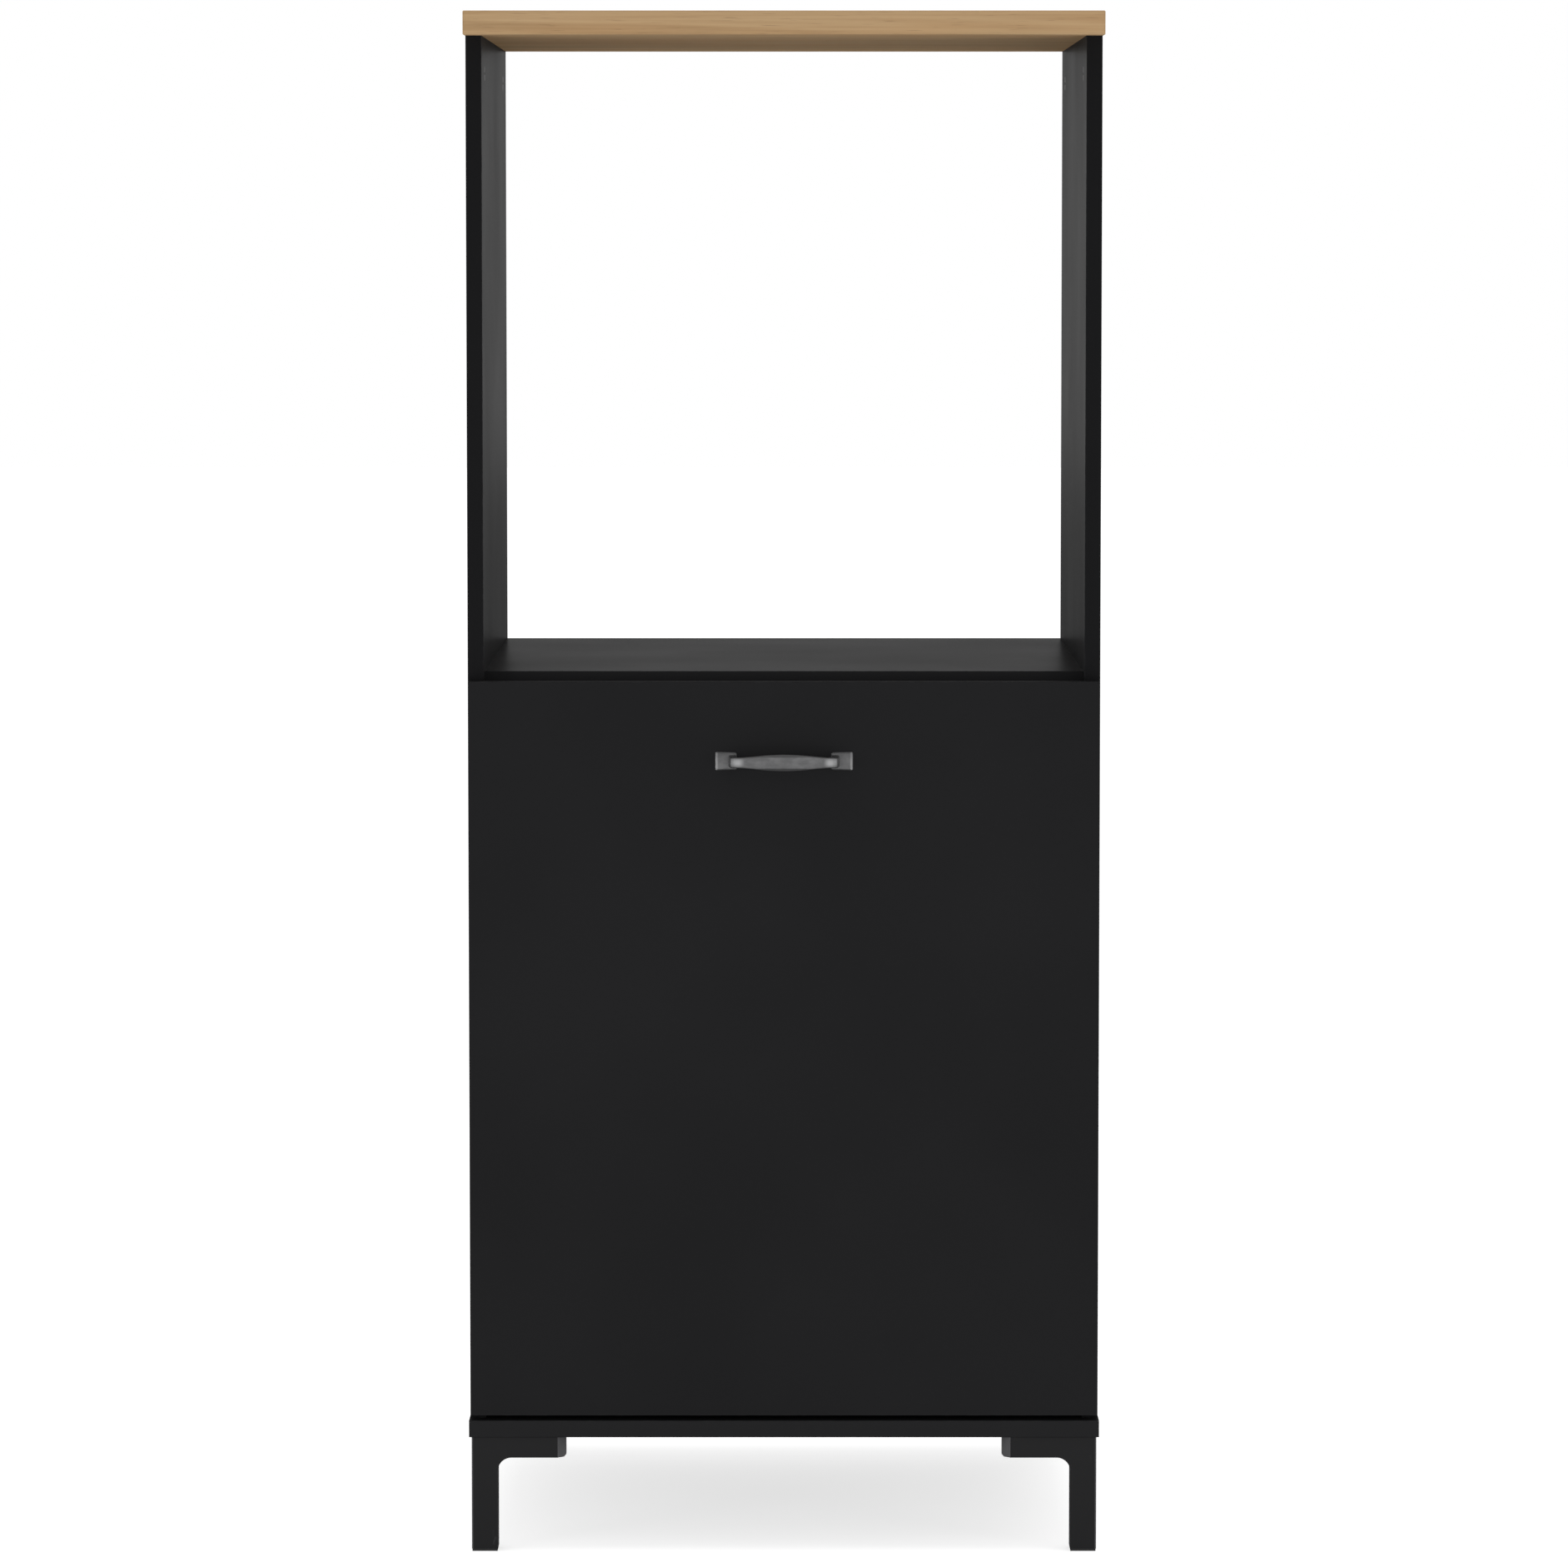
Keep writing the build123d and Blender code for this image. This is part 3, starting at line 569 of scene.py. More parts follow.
@dataclass(frozen=True)
class AntiqueNickel:
    """Brushed dark nickel: painted shade on its flanks and the feet's upper halves, painted
    highlights on its shoulder bends and the feet's outer ends.
    """

    face: Colour = colour(84, 84, 85)
    pale: Colour = colour(101, 101, 102)
    # Dark tone: painted shade on the flanks and the feet's upper halves; brushed streaks also mix
    # a little of it in.
    painted_shade_and_streak_tone: Colour = colour(52, 52, 53)
    # Painted highlight on the shoulder bends and the feet's outer ends.
    highlight_tone: Colour = colour(152, 152, 153)
    brush_scale: Triple = (60.0, 60.0, 1800.0)
    cloud_scale: Triple = (90.0, 90.0, 140.0)
    foot_span: Span = (50.0 * MM, 53.0 * MM)
    upper_span: Span = (-1.0 * MM, 9.0 * MM)
    shoulder: float = 44.0 * MM
    shoulder_span: Span = (7.5 * MM, 1.0 * MM)
    shoulder_height: Span = (5.5 * MM, 0.5 * MM)
    end_span: Span = (62.0 * MM, 63.0 * MM)
    flank_span: Span = (0.2, 0.6)
    relief: float = 0.01 * MM

    def material(self, level: float) -> bpy.types.Material:
        """The handle's material.

        Args:
            level: Height of the handle's centre line.

        Returns:
            A material with painted shade on its flanks and towards the top of the feet, and
            painted highlights on the shoulder bends and along the feet's outer ends.
        """
        graph = Graph("dark_nickel")
        x, _, z = graph.axes(graph.place)
        # Painted shade: the feet darken towards their tops.
        upper = abs(x).step(*self.foot_span) * (z - level).step(*self.upper_span)
        # Painted highlights: soft spots round the shoulder bends, about the centre line's height.
        shoulder_highlights = abs(abs(x) - self.shoulder).step(*self.shoulder_span)
        shoulder_highlights = shoulder_highlights * abs(z - level).step(*self.shoulder_height)
        # Painted highlight along the feet's outer ends.
        ends = abs(x).step(*self.end_span)
        brushed = graph.noise(self.brush_scale, detail=4, roughness=0.6)
        clouds = graph.noise(self.cloud_scale, detail=4, roughness=0.55)
        # Painted shade on faces that turn up or down.
        flank = graph.facing()[2].step(*self.flank_span)
        metal = graph.blend(clouds.step(0.35, 0.7), self.face, self.pale)
        metal = graph.blend(shoulder_highlights.larger(ends * 0.4), metal, self.highlight_tone)
        return graph.finish(
            brushed,
            depth=self.relief,
            strength=0.5,
            Base_Color=graph.blend(
                (flank * 0.75).larger(upper * 0.45) + brushed * 0.12, metal, self.painted_shade_and_streak_tone
            ),
            Metallic=0.45,
            Roughness=0.42 + (brushed - 0.5) * 0.2 + (clouds - 0.5) * 0.12,
        )


@dataclass(frozen=True)
class Metal:
    """Bare or plated metal with fine lines along its rolled or brushed way."""

    name: str
    bright: Colour
    dull: Colour
    roughness: float
    line_scale: Triple
    blotch_scale: float = 60.0
    relief: float = 0.012 * MM

    def material(self) -> bpy.types.Material:
        """Works out the metal's material.

        Returns:
            A material with lines and dull blotches.
        """
        graph = Graph(self.name)
        lines = graph.noise(self.line_scale, detail=4, roughness=0.6)
        blotches = graph.noise(self.blotch_scale, detail=4, roughness=0.6)
        tarnish = blotches.step(0.35, 0.75) * 0.6 + lines * 0.3
        return graph.finish(
            lines,
            depth=self.relief,
            strength=0.5,
            Base_Color=graph.blend(tarnish, self.bright, self.dull),
            Metallic=1.0,
            Roughness=self.roughness + (lines - 0.5) * 0.18 + (blotches - 0.5) * 0.1,
        )


@dataclass(frozen=True)
class Plastic:
    """Moulded plastic with a fine grain."""

    name: str
    face: Colour
    roughness: float
    see_through: float = 0.0
    grain_scale: float = 1800.0
    cloud_scale: float = 40.0
    relief: float = 0.02 * MM

    def material(self) -> bpy.types.Material:
        """Works out the plastic's material.

        Returns:
            A material with a fine grain.
        """
        graph = Graph(self.name)
        grain = graph.noise(self.grain_scale, detail=3)
        clouds = graph.noise(self.cloud_scale, detail=2)
        return graph.finish(
            grain,
            depth=self.relief,
            strength=0.6,
            Base_Color=graph.blend(clouds, self.face, lighter(self.face, 0.8)),
            Roughness=self.roughness + (grain - 0.5) * 0.2,
            Transmission_Weight=self.see_through,
        )


@dataclass(frozen=True)
class Beech:
    """Pressed beech of the dowels."""

    pale: Colour = colour(214, 184, 146)
    dark: Colour = colour(178, 141, 101)
    fibre_scale: Triple = (500.0, 1400.0, 500.0)
    fleck_scale: Triple = (160.0, 900.0, 160.0)
    relief: float = 0.04 * MM

    def material(self) -> bpy.types.Material:
        """Works out the dowels' material.

        Returns:
            A material with fibres and flecks in the wood's own way.
        """
        graph = Graph("beech")
        fibres = graph.noise(self.fibre_scale, detail=4, roughness=0.6)
        flecks = graph.noise(self.fleck_scale, detail=2).step(0.58, 0.66)
        wood = graph.blend(fibres, self.pale, self.dark)
        return graph.finish(
            fibres,
            depth=self.relief,
            strength=0.5,
            Base_Color=graph.blend(flecks * 0.5, wood, self.dark),
            Roughness=0.55 + fibres * 0.2,
        )


def ring_faces(rows: int, columns: int) -> np.ndarray:
    """Four-cornered faces of a grid of points whose columns close into rings.

    Args:
        rows: How many rings.
        columns: How many points in a ring.

    Returns:
        Point numbers, one row of four for each face.
    """
    row = np.arange(rows - 1)[:, None] * columns
    column = np.arange(columns)[None, :]
    beside = (column + 1) % columns
    corners = (row + column, row + beside, row + columns + beside, row + columns + column)
    return np.stack(corners, axis=-1).reshape(-1, 4)


def full_turn(columns: int) -> np.ndarray:
    """Angles in radians that part a circle evenly."""
    return np.linspace(0, 2 * np.pi, columns, endpoint=False)


def revolve(radii: np.ndarray, levels: np.ndarray, angle: np.ndarray) -> Shell:
    """Turns rings about the third axis: across stand radius times cosine and sine of the angle.

    Args:
        radii: Radius of each point, as an array of (ring, column).
        levels: Level of each point.
        angle: Angle of each column.

    Returns:
        Points and faces.
    """
    points = np.stack((radii * np.cos(angle), radii * np.sin(angle), levels), axis=-1)
    return points, ring_faces(*radii.shape)


def superellipse(angle: np.ndarray, squareness: float) -> tuple[np.ndarray, np.ndarray]:
    """Two coordinates on a superellipse of half-width and half-height 1.

    They are the angle's cosine and sine, each to the power of 2 over the squareness and with
    its sign kept.

    Args:
        angle: Angles in radians.
        squareness: 2 for a circle, and more for a squarer outline.

    Returns:
        The coordinates across and upwards.
    """
    power = 2 / squareness
    across, upward = np.cos(angle), np.sin(angle)
    return np.sign(across) * np.abs(across) ** power, np.sign(upward) * np.abs(upward) ** power


def join_shells(shells: Sequence[Shell]) -> Shell:
    """Puts several shells in one mesh.

    Args:
        shells: Points and faces of each.

    Returns:
        All points, and all faces with their point numbers shifted.
    """
    points = [part.reshape(-1, 3) for part, _ in shells]
    starts = np.cumsum([0, *(len(part) for part in points[:-1])])
    faces = [part + start for (_, part), start in zip(shells, starts)]
    return np.concatenate(points), np.concatenate(faces)


def make_piece(
    name: str, points: np.ndarray, faces: np.ndarray, smooth_degrees: float = 35.0
) -> bpy.types.Object:
    """Makes a mesh of closed shells: doubles are merged and the faces turned outwards.

    Args:
        name: The piece's name.
        points: Places in metres, in any grid whose last axis is x, y and z.
        faces: Point numbers, four for each face.
        smooth_degrees: Edges that turn by less are shaded smooth.

    Returns:
        The new object, at the origin.
    """
    mesh = bpy.data.meshes.new(name)
    mesh.from_pydata(points.reshape(-1, 3).tolist(), [], faces.tolist())
    return link_piece(name, mesh, smooth_degrees)


def link_piece(name: str, mesh: bpy.types.Mesh, smooth_degrees: float) -> bpy.types.Object:
    """Cleans a mesh and links it as an object.

    Args:
        name: The piece's name.
        mesh: Its mesh.
        smooth_degrees: Edges that turn by less are shaded smooth.

    Returns:
        The new object.
    """
    shell = bmesh.new()
    shell.from_mesh(mesh)
    bmesh.ops.remove_doubles(shell, verts=shell.verts, dist=SAME_POINT)
    bmesh.ops.dissolve_degenerate(shell, edges=shell.edges, dist=SAME_POINT / 10)
    bmesh.ops.recalc_face_normals(shell, faces=shell.faces)
    shell.to_mesh(mesh)
    shell.free()
    mesh.shade_smooth()
    mesh.set_sharp_from_angle(angle=math.radians(smooth_degrees))
    return link(name, mesh)


def merged_copy(node: str, name: str, smooth_degrees: float) -> bpy.types.Object:
    """A copy of a CAD node whose triangles are merged back into flat faces.

    Args:
        node: The CAD node.
        name: The copy's name.
        smooth_degrees: Edges that turn by less are shaded smooth.

    Returns:
        The new object.
    """
    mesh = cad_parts[node].data.copy()
    mesh.name = name
    shell = bmesh.new()
    shell.from_mesh(mesh)
    bmesh.ops.remove_doubles(shell, verts=shell.verts, dist=SAME_POINT * 10)
    bmesh.ops.dissolve_limit(
        shell, angle_limit=math.radians(FLAT_DEGREES), verts=shell.verts, edges=shell.edges
    )
    shell.to_mesh(mesh)
    shell.free()
    if "custom_normal" in mesh.attributes:
        mesh.attributes.remove(mesh.attributes["custom_normal"])
    return link_piece(name, mesh, smooth_degrees)


def round_edges(
    piece: bpy.types.Object, radius: float, segments: int = 3, sharp_degrees: float = 30.0
) -> None:
    """Rounds a piece's edges, while its flat faces stay flat.

    Args:
        piece: The piece.
        radius: Radius of the rounded edges in metres.
        segments: How many faces go round an edge.
        sharp_degrees: Edges that turn by less are left.
    """
    bevel = piece.modifiers.new("edges", "BEVEL")
    bevel.width, bevel.segments, bevel.limit_method = radius, segments, "ANGLE"
    bevel.angle_limit = math.radians(sharp_degrees)
    bevel.use_clamp_overlap = True
    bevel.harden_normals = True


def solid_boxes(node: str) -> np.ndarray:
    """Boxes of the separate solids in a CAD node.

    Points at one place share a number, and each triangle then gives its corners the lowest
    label among them until nothing changes, so that a solid ends with one label.

    Args:
        node: The CAD node.

    Returns:
        Lowest and highest corner of each solid, as an array of (solid, 2, 3).
    """
    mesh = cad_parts[node].data
    places = np.zeros(len(mesh.vertices) * 3)
    mesh.vertices.foreach_get("co", places)
    places = places.reshape(-1, 3)
    mesh.calc_loop_triangles()
    triangles = np.zeros(len(mesh.loop_triangles) * 3, int)
    mesh.loop_triangles.foreach_get("vertices", triangles)
    rounded = np.round(places, decimals=6)
    shared = np.unique(rounded, axis=0, return_inverse=True)[1].ravel()
    triangles = shared[triangles].reshape(-1, 3)
    labels = np.arange(shared.max() + 1)
    while True:
        lowest = labels[triangles].min(axis=1)
        lower = labels.copy()
        np.minimum.at(lower, triangles.ravel(), np.repeat(lowest, 3))
        lower = lower[lower]
        if (lower == labels).all():
            break
        labels = lower
    solid_of_point = labels[shared]
    solids = [places[solid_of_point == solid] for solid in np.unique(labels)]
    return np.array([(solid.min(axis=0), solid.max(axis=0)) for solid in solids])


def place_copies(shape: np.ndarray, faces: np.ndarray, frames: np.ndarray) -> Shell:
    """Puts copies of one shape at several places.

    Args:
        shape: The shape's points, in any grid whose last axis is x, y and z.
        faces: Its faces.
        frames: For each copy three axes and an origin, as an array of (copy, 4, 3).

    Returns:
        The points and faces of all copies.
    """
    points = shape.reshape(-1, 3)
    moved = np.einsum("pa,cab->cpb", points, frames[:, :3]) + frames[:, 3][:, None, :]
    shifts = np.arange(len(frames))[:, None, None] * len(points)
    return moved, (faces[None] + shifts).reshape(-1, 4)


def outward_frames(boxes: np.ndarray, ways: np.ndarray) -> np.ndarray:
    """Frames at the outer ends of solids, with the third axis pointing out.

    Args:
        boxes: Boxes of the solids.
        ways: For each solid the way out, as a unit vector along one axis.

    Returns:
        Three axes and an origin for each solid, as an array of (solid, 4, 3).
    """
    centres, halves = boxes.mean(axis=1), (boxes[:, 1] - boxes[:, 0]) / 2
    helper = np.where(np.abs(ways[:, 2:]) > 0.5, (0.0, 1.0, 0.0), (0.0, 0.0, 1.0))
    across = np.cross(helper, ways)
    beside = np.cross(ways, across)
    return np.stack((across, beside, ways, centres + halves * ways), axis=1)


def cross_recess(radius: np.ndarray, angle: np.ndarray, width: float, reach: float) -> np.ndarray:
    """Depth of a cross recess.

    It is 1 where the distance to the nearer of two crossing axes is under half the width and
    the radius is under the reach, with sloping flanks a quarter of the width wide.

    Args:
        radius: Distances from the middle.
        angle: Angles in radians.
        width: Width of the cross's arms.
        reach: Distance from the middle to an arm's end.

    Returns:
        The depth from 0 to 1 at each point.
    """
    aside = np.minimum(np.abs(radius * np.sin(angle)), np.abs(radius * np.cos(angle)))
    flank = width / 4
    inside = np.clip((width / 2 + flank - aside) / flank, 0, 1)
    return inside * np.clip((reach - radius) / (2 * flank), 0, 1)


@dataclass(frozen=True)
class ScrewShape:
    """A screw along its own third axis, with its head's face at 0 and its tip below."""

    radius: float
    head_radius: float
    length: float
    head_height: float = 0.0
    pitch: float = 2.0 * MM
    thread_depth: float = 0.45 * MM
    rim_height: float = 0.15 * MM
    drive_width: float = 0.34
    drive_reach: float = 0.72
    drive_depth: float = 0.32
    dome: float = 0.35
    columns: int = 24
    face_rings: int = 13
    rings_per_turn: int = 6

    def surface(self) -> Shell:
        """Works out the screw's surface.

        A ring's radius and level are functions of the way along the profile and of the angle:
        the head's face dips in a cross, a cone or a rounded edge leads to the shank, and the
        shank's radius falls below its crest by a triangle wave of level and angle. The drive's
        sizes are shares of the head's radius, and the dome is a share of its height.

        Returns:
            Points and faces.
        """
        angle = full_turn(self.columns)[None, :]
        head = self.head_radius
        rim = np.linspace(0.0, head, self.face_rings)[:, None]
        recess = cross_recess(rim, angle, self.drive_width * head, self.drive_reach * head)
        dome = self.dome * self.head_height * (1 - (rim / head) ** 2)
        face_level = dome - self.drive_depth * head * recess
        neck = max(self.head_height, head - self.radius)
        bottom_radius = head if self.head_height else self.radius
        under_radius = np.array((head, bottom_radius, self.radius))[:, None]
        under_level = -np.array((self.rim_height, neck, neck))[:, None]
        turns = (self.length - neck - 2 * self.radius) / self.pitch
        thread_start, thread_end = -neck - 0.1 * MM, 2 * self.radius - self.length
        rings = int(turns * self.rings_per_turn)
        level = np.linspace(thread_start, thread_end, rings)[:, None]
        wave = np.abs(2 * np.mod(level / self.pitch + angle / (2 * np.pi), 1.0) - 1)
        shank_radius = self.radius - self.thread_depth * wave
        tip_radius = np.array((0.5 * self.radius, 0.0))[:, None]
        tip_level = -np.array((self.length - 0.7 * self.radius, self.length))[:, None]
        rings_of_radii = (rim, under_radius, shank_radius, tip_radius)
        rings_of_levels = (face_level, under_level, level, tip_level)
        radii = np.vstack([part + 0 * angle for part in rings_of_radii])
        levels = np.vstack([part + 0 * angle for part in rings_of_levels])
        return revolve(radii, levels, angle)


@dataclass(frozen=True)
class TurnedShape:
    """A turned piece along its own third axis, from a profile of radii and levels."""

    profile: tuple[Span, ...]
    columns: int = 32
    slot: Triple = (0.0, 0.0, 0.0)
    flutes: int = 0
    flute_depth: float = 0.0

    def surface(self) -> Shell:
        """Works out the turned surface.

        The profile turns about the axis; its outermost radius dips by a cosine wave for each
        flute, and its upper face is lowered by the cross slot's depth.

        Returns:
            Points and faces.
        """
        angle = full_turn(self.columns)[None, :]
        radius, level = (np.array(part)[:, None] for part in zip(*self.profile))
        outermost = radius.max()
        radii = radius - self.flute_depth * (radius == outermost) * (
            0.5 - 0.5 * np.cos(self.flutes * angle)
        )
        width, reach, depth = self.slot
        levels = level + 0 * angle
        if depth:
            levels = levels - depth * cross_recess(radii, angle, width, reach) * (level >= 0)
        return revolve(radii, levels, angle)


def disc_profile(radius: float, height: float, edge: float, rings: int = 12) -> tuple[Span, ...]:
    """Profile of a disc from the middle of its face at 0 down to the middle of its bottom.

    Args:
        radius: The disc's radius.
        height: Its height.
        edge: How far its edges are broken.
        rings: How many steps its face has, for a slot to be cut in.

    Returns:
        Radius and level of each corner.
    """
    face = [(radius - edge) * step / rings for step in range(rings + 1)]
    return (
        *((reach, 0.0) for reach in face),
        (radius, -edge),
        (radius, edge - height),
        (radius - edge, -height),
        (0.0, -height),
    )


@dataclass
class Carcass:
    """Worktop, side panels, oven shelf, base board and back panel, which keep their solids."""

    oak: OakLaminate = OakLaminate()
    # One black foil in two copies that differ only at the edge faces: painted shade, darker, on
    # the side panels and the front, and painted light, lighter, on the shelf and the base board.
    shaded_edge_foil: BoardFoil = BoardFoil(
        "black_board",
        face=colour(36, 36, 37),
        band_tone_and_edge_light=colour(30, 30, 31),
        worn=colour(50, 50, 51),
        roughness=0.33,
        specular=0.0009,
    )
    lit_edge_foil: BoardFoil = replace(shaded_edge_foil, band_tone_and_edge_light=colour(41, 41, 42))

    def build(self) -> None:
        """Gives each board its material."""
        dress(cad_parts["worktop"], self.oak.material("worktop"))
        for node, foil in (
            ("side_panel_left", self.shaded_edge_foil),
            ("side_panel_right", self.shaded_edge_foil),
            ("oven_shelf", self.lit_edge_foil),
            ("base_board", self.lit_edge_foil),
        ):
            dress(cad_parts[node], foil.material(node))
        dress(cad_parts["back_panel"], Hardboard().material())
        LOG.info("carcass: worktop, back panel and four black boards")


@dataclass
class PullOut:
    """Front panel and the two boxes behind it."""

    # The front's edges take the side panels' painted shade.
    front: BoardFoil = Carcass.shaded_edge_foil
    grey: BoardFoil = BoardFoil(
        "box_board",
        face=colour(72, 72, 74),
        band_tone_and_edge_light=colour(64, 64, 66),
        worn=colour(112, 112, 113),
        roughness=0.52,
        specular=0.2,
    )
    parts: tuple[str, ...] = ("side_left", "side_right", "inner_front", "back", "bottom")

    def build(self) -> None:
        """Gives the front and each box's boards their materials."""
        dress(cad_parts["front_panel"], self.front.material("front_panel"))
        for box in ("lower", "upper"):
            for part in self.parts:
                node = f"{box}_box_{part}"
                dress(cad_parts[node], self.grey.material(node))
            LOG.info("%s box: %d boards", box, len(self.parts))


@dataclass
class Legs:
    """Four cast corner legs with rounded edges, and their glides."""

    edge_radius: float = 0.9 * MM
    finish: CoatedCasting = CoatedCasting()
    glide: Plastic = Plastic("black_plastic", colour(26, 26, 26), roughness=0.55)

    def build(self) -> None:
        """Rounds a copy of each leg and dresses the glides."""
        for corner in ("front_left", "front_right", "rear_left", "rear_right"):
            node = f"leg_{corner}"
            leg = merged_copy(node, f"cast_leg_{corner}", smooth_degrees=25.0)
            round_edges(leg, self.edge_radius)
            dress(leg, self.finish.material(node))
            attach(leg, "cabinet")
            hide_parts(node)
            LOG.info("leg: %s", leg.name)
        dress(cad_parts["leg_glides"], self.glide.material())


@dataclass
class BowHandle:
    """Bow handle: a flat arch of changing height that rises from two feet."""

    length: float = 130.0 * MM
    foot_width: float = 20.5 * MM
    foot_end_height: float = 18.4 * MM
    foot_inner_height: float = 17.0 * MM
    foot_thickness: float = 2.6 * MM
    foot_edge: float = 0.4 * MM
    foot_bevel_slope: float = 0.9
    foot_squareness: float = 12.0
    foot_face_power: int = 8
    foot_columns: int = 64
    leg_spacing: float = 97.0 * MM
    shoulder_radius: float = 4.0 * MM
    crown_degrees: float = 4.0
    root_flare: float = 0.4
    root_height_share: float = 0.35
    root_fall: float = 0.9 * MM
    band_height: float = 10.0 * MM
    flank_slope: float = 0.6
    thickness: float = 6.0 * MM
    waist_height: float = 10.2 * MM
    belly_height: float = 15.4 * MM
    waist_span: float = 84.0 * MM
    belly_power: float = 1.5
    section_squareness: float = 5.0
    samples: int = 40
    rings: int = 280
    columns: int = 44
    finish: AntiqueNickel = AntiqueNickel()

    def arch(self, projection: float) -> Shell:
        """Works out the arch, with the front panel's face at y = 0.

        The middle line goes up a leg, round part of a circle and over a falling parabola to the
        middle, and back the same way, spaced evenly along its length. The section is a
        superellipse: across it stand half the thickness and half the height, which grows from
        the waist to the belly by a power of a falling parabola. Above and below a flat band
        its outer face falls along two sloping flanks. Both halves flare towards the feet by an
        exponential of the distance from the feet's faces.

        Args:
            projection: How far the handle stands out.

        Returns:
            Points and faces.
        """
        bend, lean = self.shoulder_radius, math.radians(self.crown_degrees)
        turn = np.linspace(0, np.pi / 2 - lean, self.samples)
        shoulder = self.leg_spacing / 2 - bend * (1 - np.cos(turn))
        crown = np.linspace(shoulder[-1], 0, 2 * self.samples)[1:]
        top = bend * math.cos(lean) + shoulder[-1] * math.tan(lean) / 2 * (
            1 - (crown / shoulder[-1]) ** 2
        )
        half_x = np.concatenate(([self.leg_spacing / 2], shoulder, crown))
        rise = projection - self.thickness / 2 - top[-1]
        half_y = np.concatenate(([0.0], rise + bend * np.sin(turn), rise + top))
        x = np.concatenate((half_x, -half_x[-2::-1]))
        y = np.concatenate((half_y, half_y[-2::-1]))
        run = np.concatenate(([0.0], np.cumsum(np.hypot(np.diff(x), np.diff(y)))))
        even = np.linspace(0, run[-1], self.rings)
        line = np.stack((np.interp(even, run, x), np.interp(even, run, y)), axis=-1)
        along = np.gradient(line, axis=0)
        along /= np.linalg.norm(along, axis=1, keepdims=True)
        outwards = np.stack((along[:, 1], -along[:, 0]), axis=-1)
        near = (1 - (line[:, 0] / (self.waist_span / 2)) ** 2).clip(0) ** self.belly_power
        above = (line[:, 1] - self.foot_thickness).clip(0)
        flare = 1 + self.root_flare * np.exp(-above / self.root_fall)
        half_height = (self.waist_height + (self.belly_height - self.waist_height) * near) / 2
        half_height = half_height * (1 + self.root_height_share * (flare - 1))
        half_depth = self.thickness / 2 * flare
        angle = full_turn(self.columns)
        across, upward = superellipse(angle, self.section_squareness)
        height = half_height[:, None] * upward[None, :]
        fall = self.flank_slope * (np.abs(height) - self.band_height / 2).clip(0)
        offset = np.minimum(half_depth[:, None] * across[None, :], half_depth[:, None] - fall)
        ring = np.stack(
            (
                line[:, None, 0] + outwards[:, None, 0] * offset,
                -(line[:, None, 1] + outwards[:, None, 1] * offset),
                height,
            ),
            axis=-1,
        )
        caps = [np.broadcast_to(ring[end].mean(axis=0), ring[end].shape)[None] for end in (0, -1)]
        points = np.concatenate((caps[0], ring, caps[1]))
        points[..., 1] = np.minimum(points[..., 1], 0.0)
        return points, ring_faces(*points.shape[:2])

    def foot(self, side: int) -> Shell:
        """Works out one foot: a plate whose outline is a superellipse.

        Its height tapers towards the handle's middle. Its face falls to the front panel along
        a high power of the way out, and a bevel cuts it along the handle's outer end.

        Args:
            side: -1 on the left and 1 on the right.

        Returns:
            Points and faces.
        """
        angle = full_turn(self.foot_columns)[None, :]
        out = np.concatenate((np.linspace(0, 0.7, 6), np.linspace(0.74, 1.0, 14)))[:, None]
        wide, tall = superellipse(angle, self.foot_squareness)
        narrowing = self.foot_end_height - self.foot_inner_height
        taper = (self.foot_end_height + self.foot_inner_height) / 4 + wide * side * narrowing / 4
        x = side * (self.length - self.foot_width) / 2 + self.foot_width / 2 * out * wide
        z = out * tall * taper
        bevel = self.foot_edge + self.foot_bevel_slope * (self.length / 2 - np.abs(x))
        face_depth = self.foot_thickness * (1 - out**self.foot_face_power) ** 0.5
        y = -np.minimum(face_depth, bevel)
        face = np.stack((x, y, z), axis=-1)
        base = np.stack((x, 0 * y, z), axis=-1)[::-1]
        points = np.concatenate((face, base[1:]))
        return points, ring_faces(*points.shape[:2])

    def build(self) -> None:
        """Makes the handle in place of its CAD node."""
        low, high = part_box("handle")
        origin = np.array(((low.x + high.x) / 2, high.y, (low.z + high.z) / 2))
        points, faces = join_shells([self.arch(high.y - low.y), self.foot(-1), self.foot(1)])
        handle = make_piece("bow_handle", points + origin, faces, smooth_degrees=50.0)
        dress(handle, self.finish.material(origin[2]))
        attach(handle, "pull_out")
        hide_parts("handle")
        LOG.info("handle: %s", handle.name)


class Way(Enum):
    """The way that a fastener's head or face points; the first number turns with the side."""

    DOWN = (0.0, 0.0, -1.0)
    BACK = (0.0, 1.0, 0.0)
    TO_MIDDLE = (-1.0, 0.0, 0.0)
    TO_OUTSIDE = (1.0, 0.0, 0.0)

    def vectors(self, boxes: np.ndarray) -> np.ndarray:
        """This way for each solid, mirrored from the right half to the left."""
        side = np.sign(boxes.mean(axis=1)[:, :1])
        return np.array(self.value) * np.hstack((side, np.ones_like(side), np.ones_like(side)))


def ways_by(choice: np.ndarray, boxes: np.ndarray, chosen: Way, other: Way) -> np.ndarray:
    """One way for the solids that are chosen and another for the rest."""
    return np.where(choice[:, None], chosen.vectors(boxes), other.vectors(boxes))


@dataclass(frozen=True)
class Screws:
    """The screws of one CAD node."""

    node: str
    way: Way
    body: str
    shape: ScrewShape


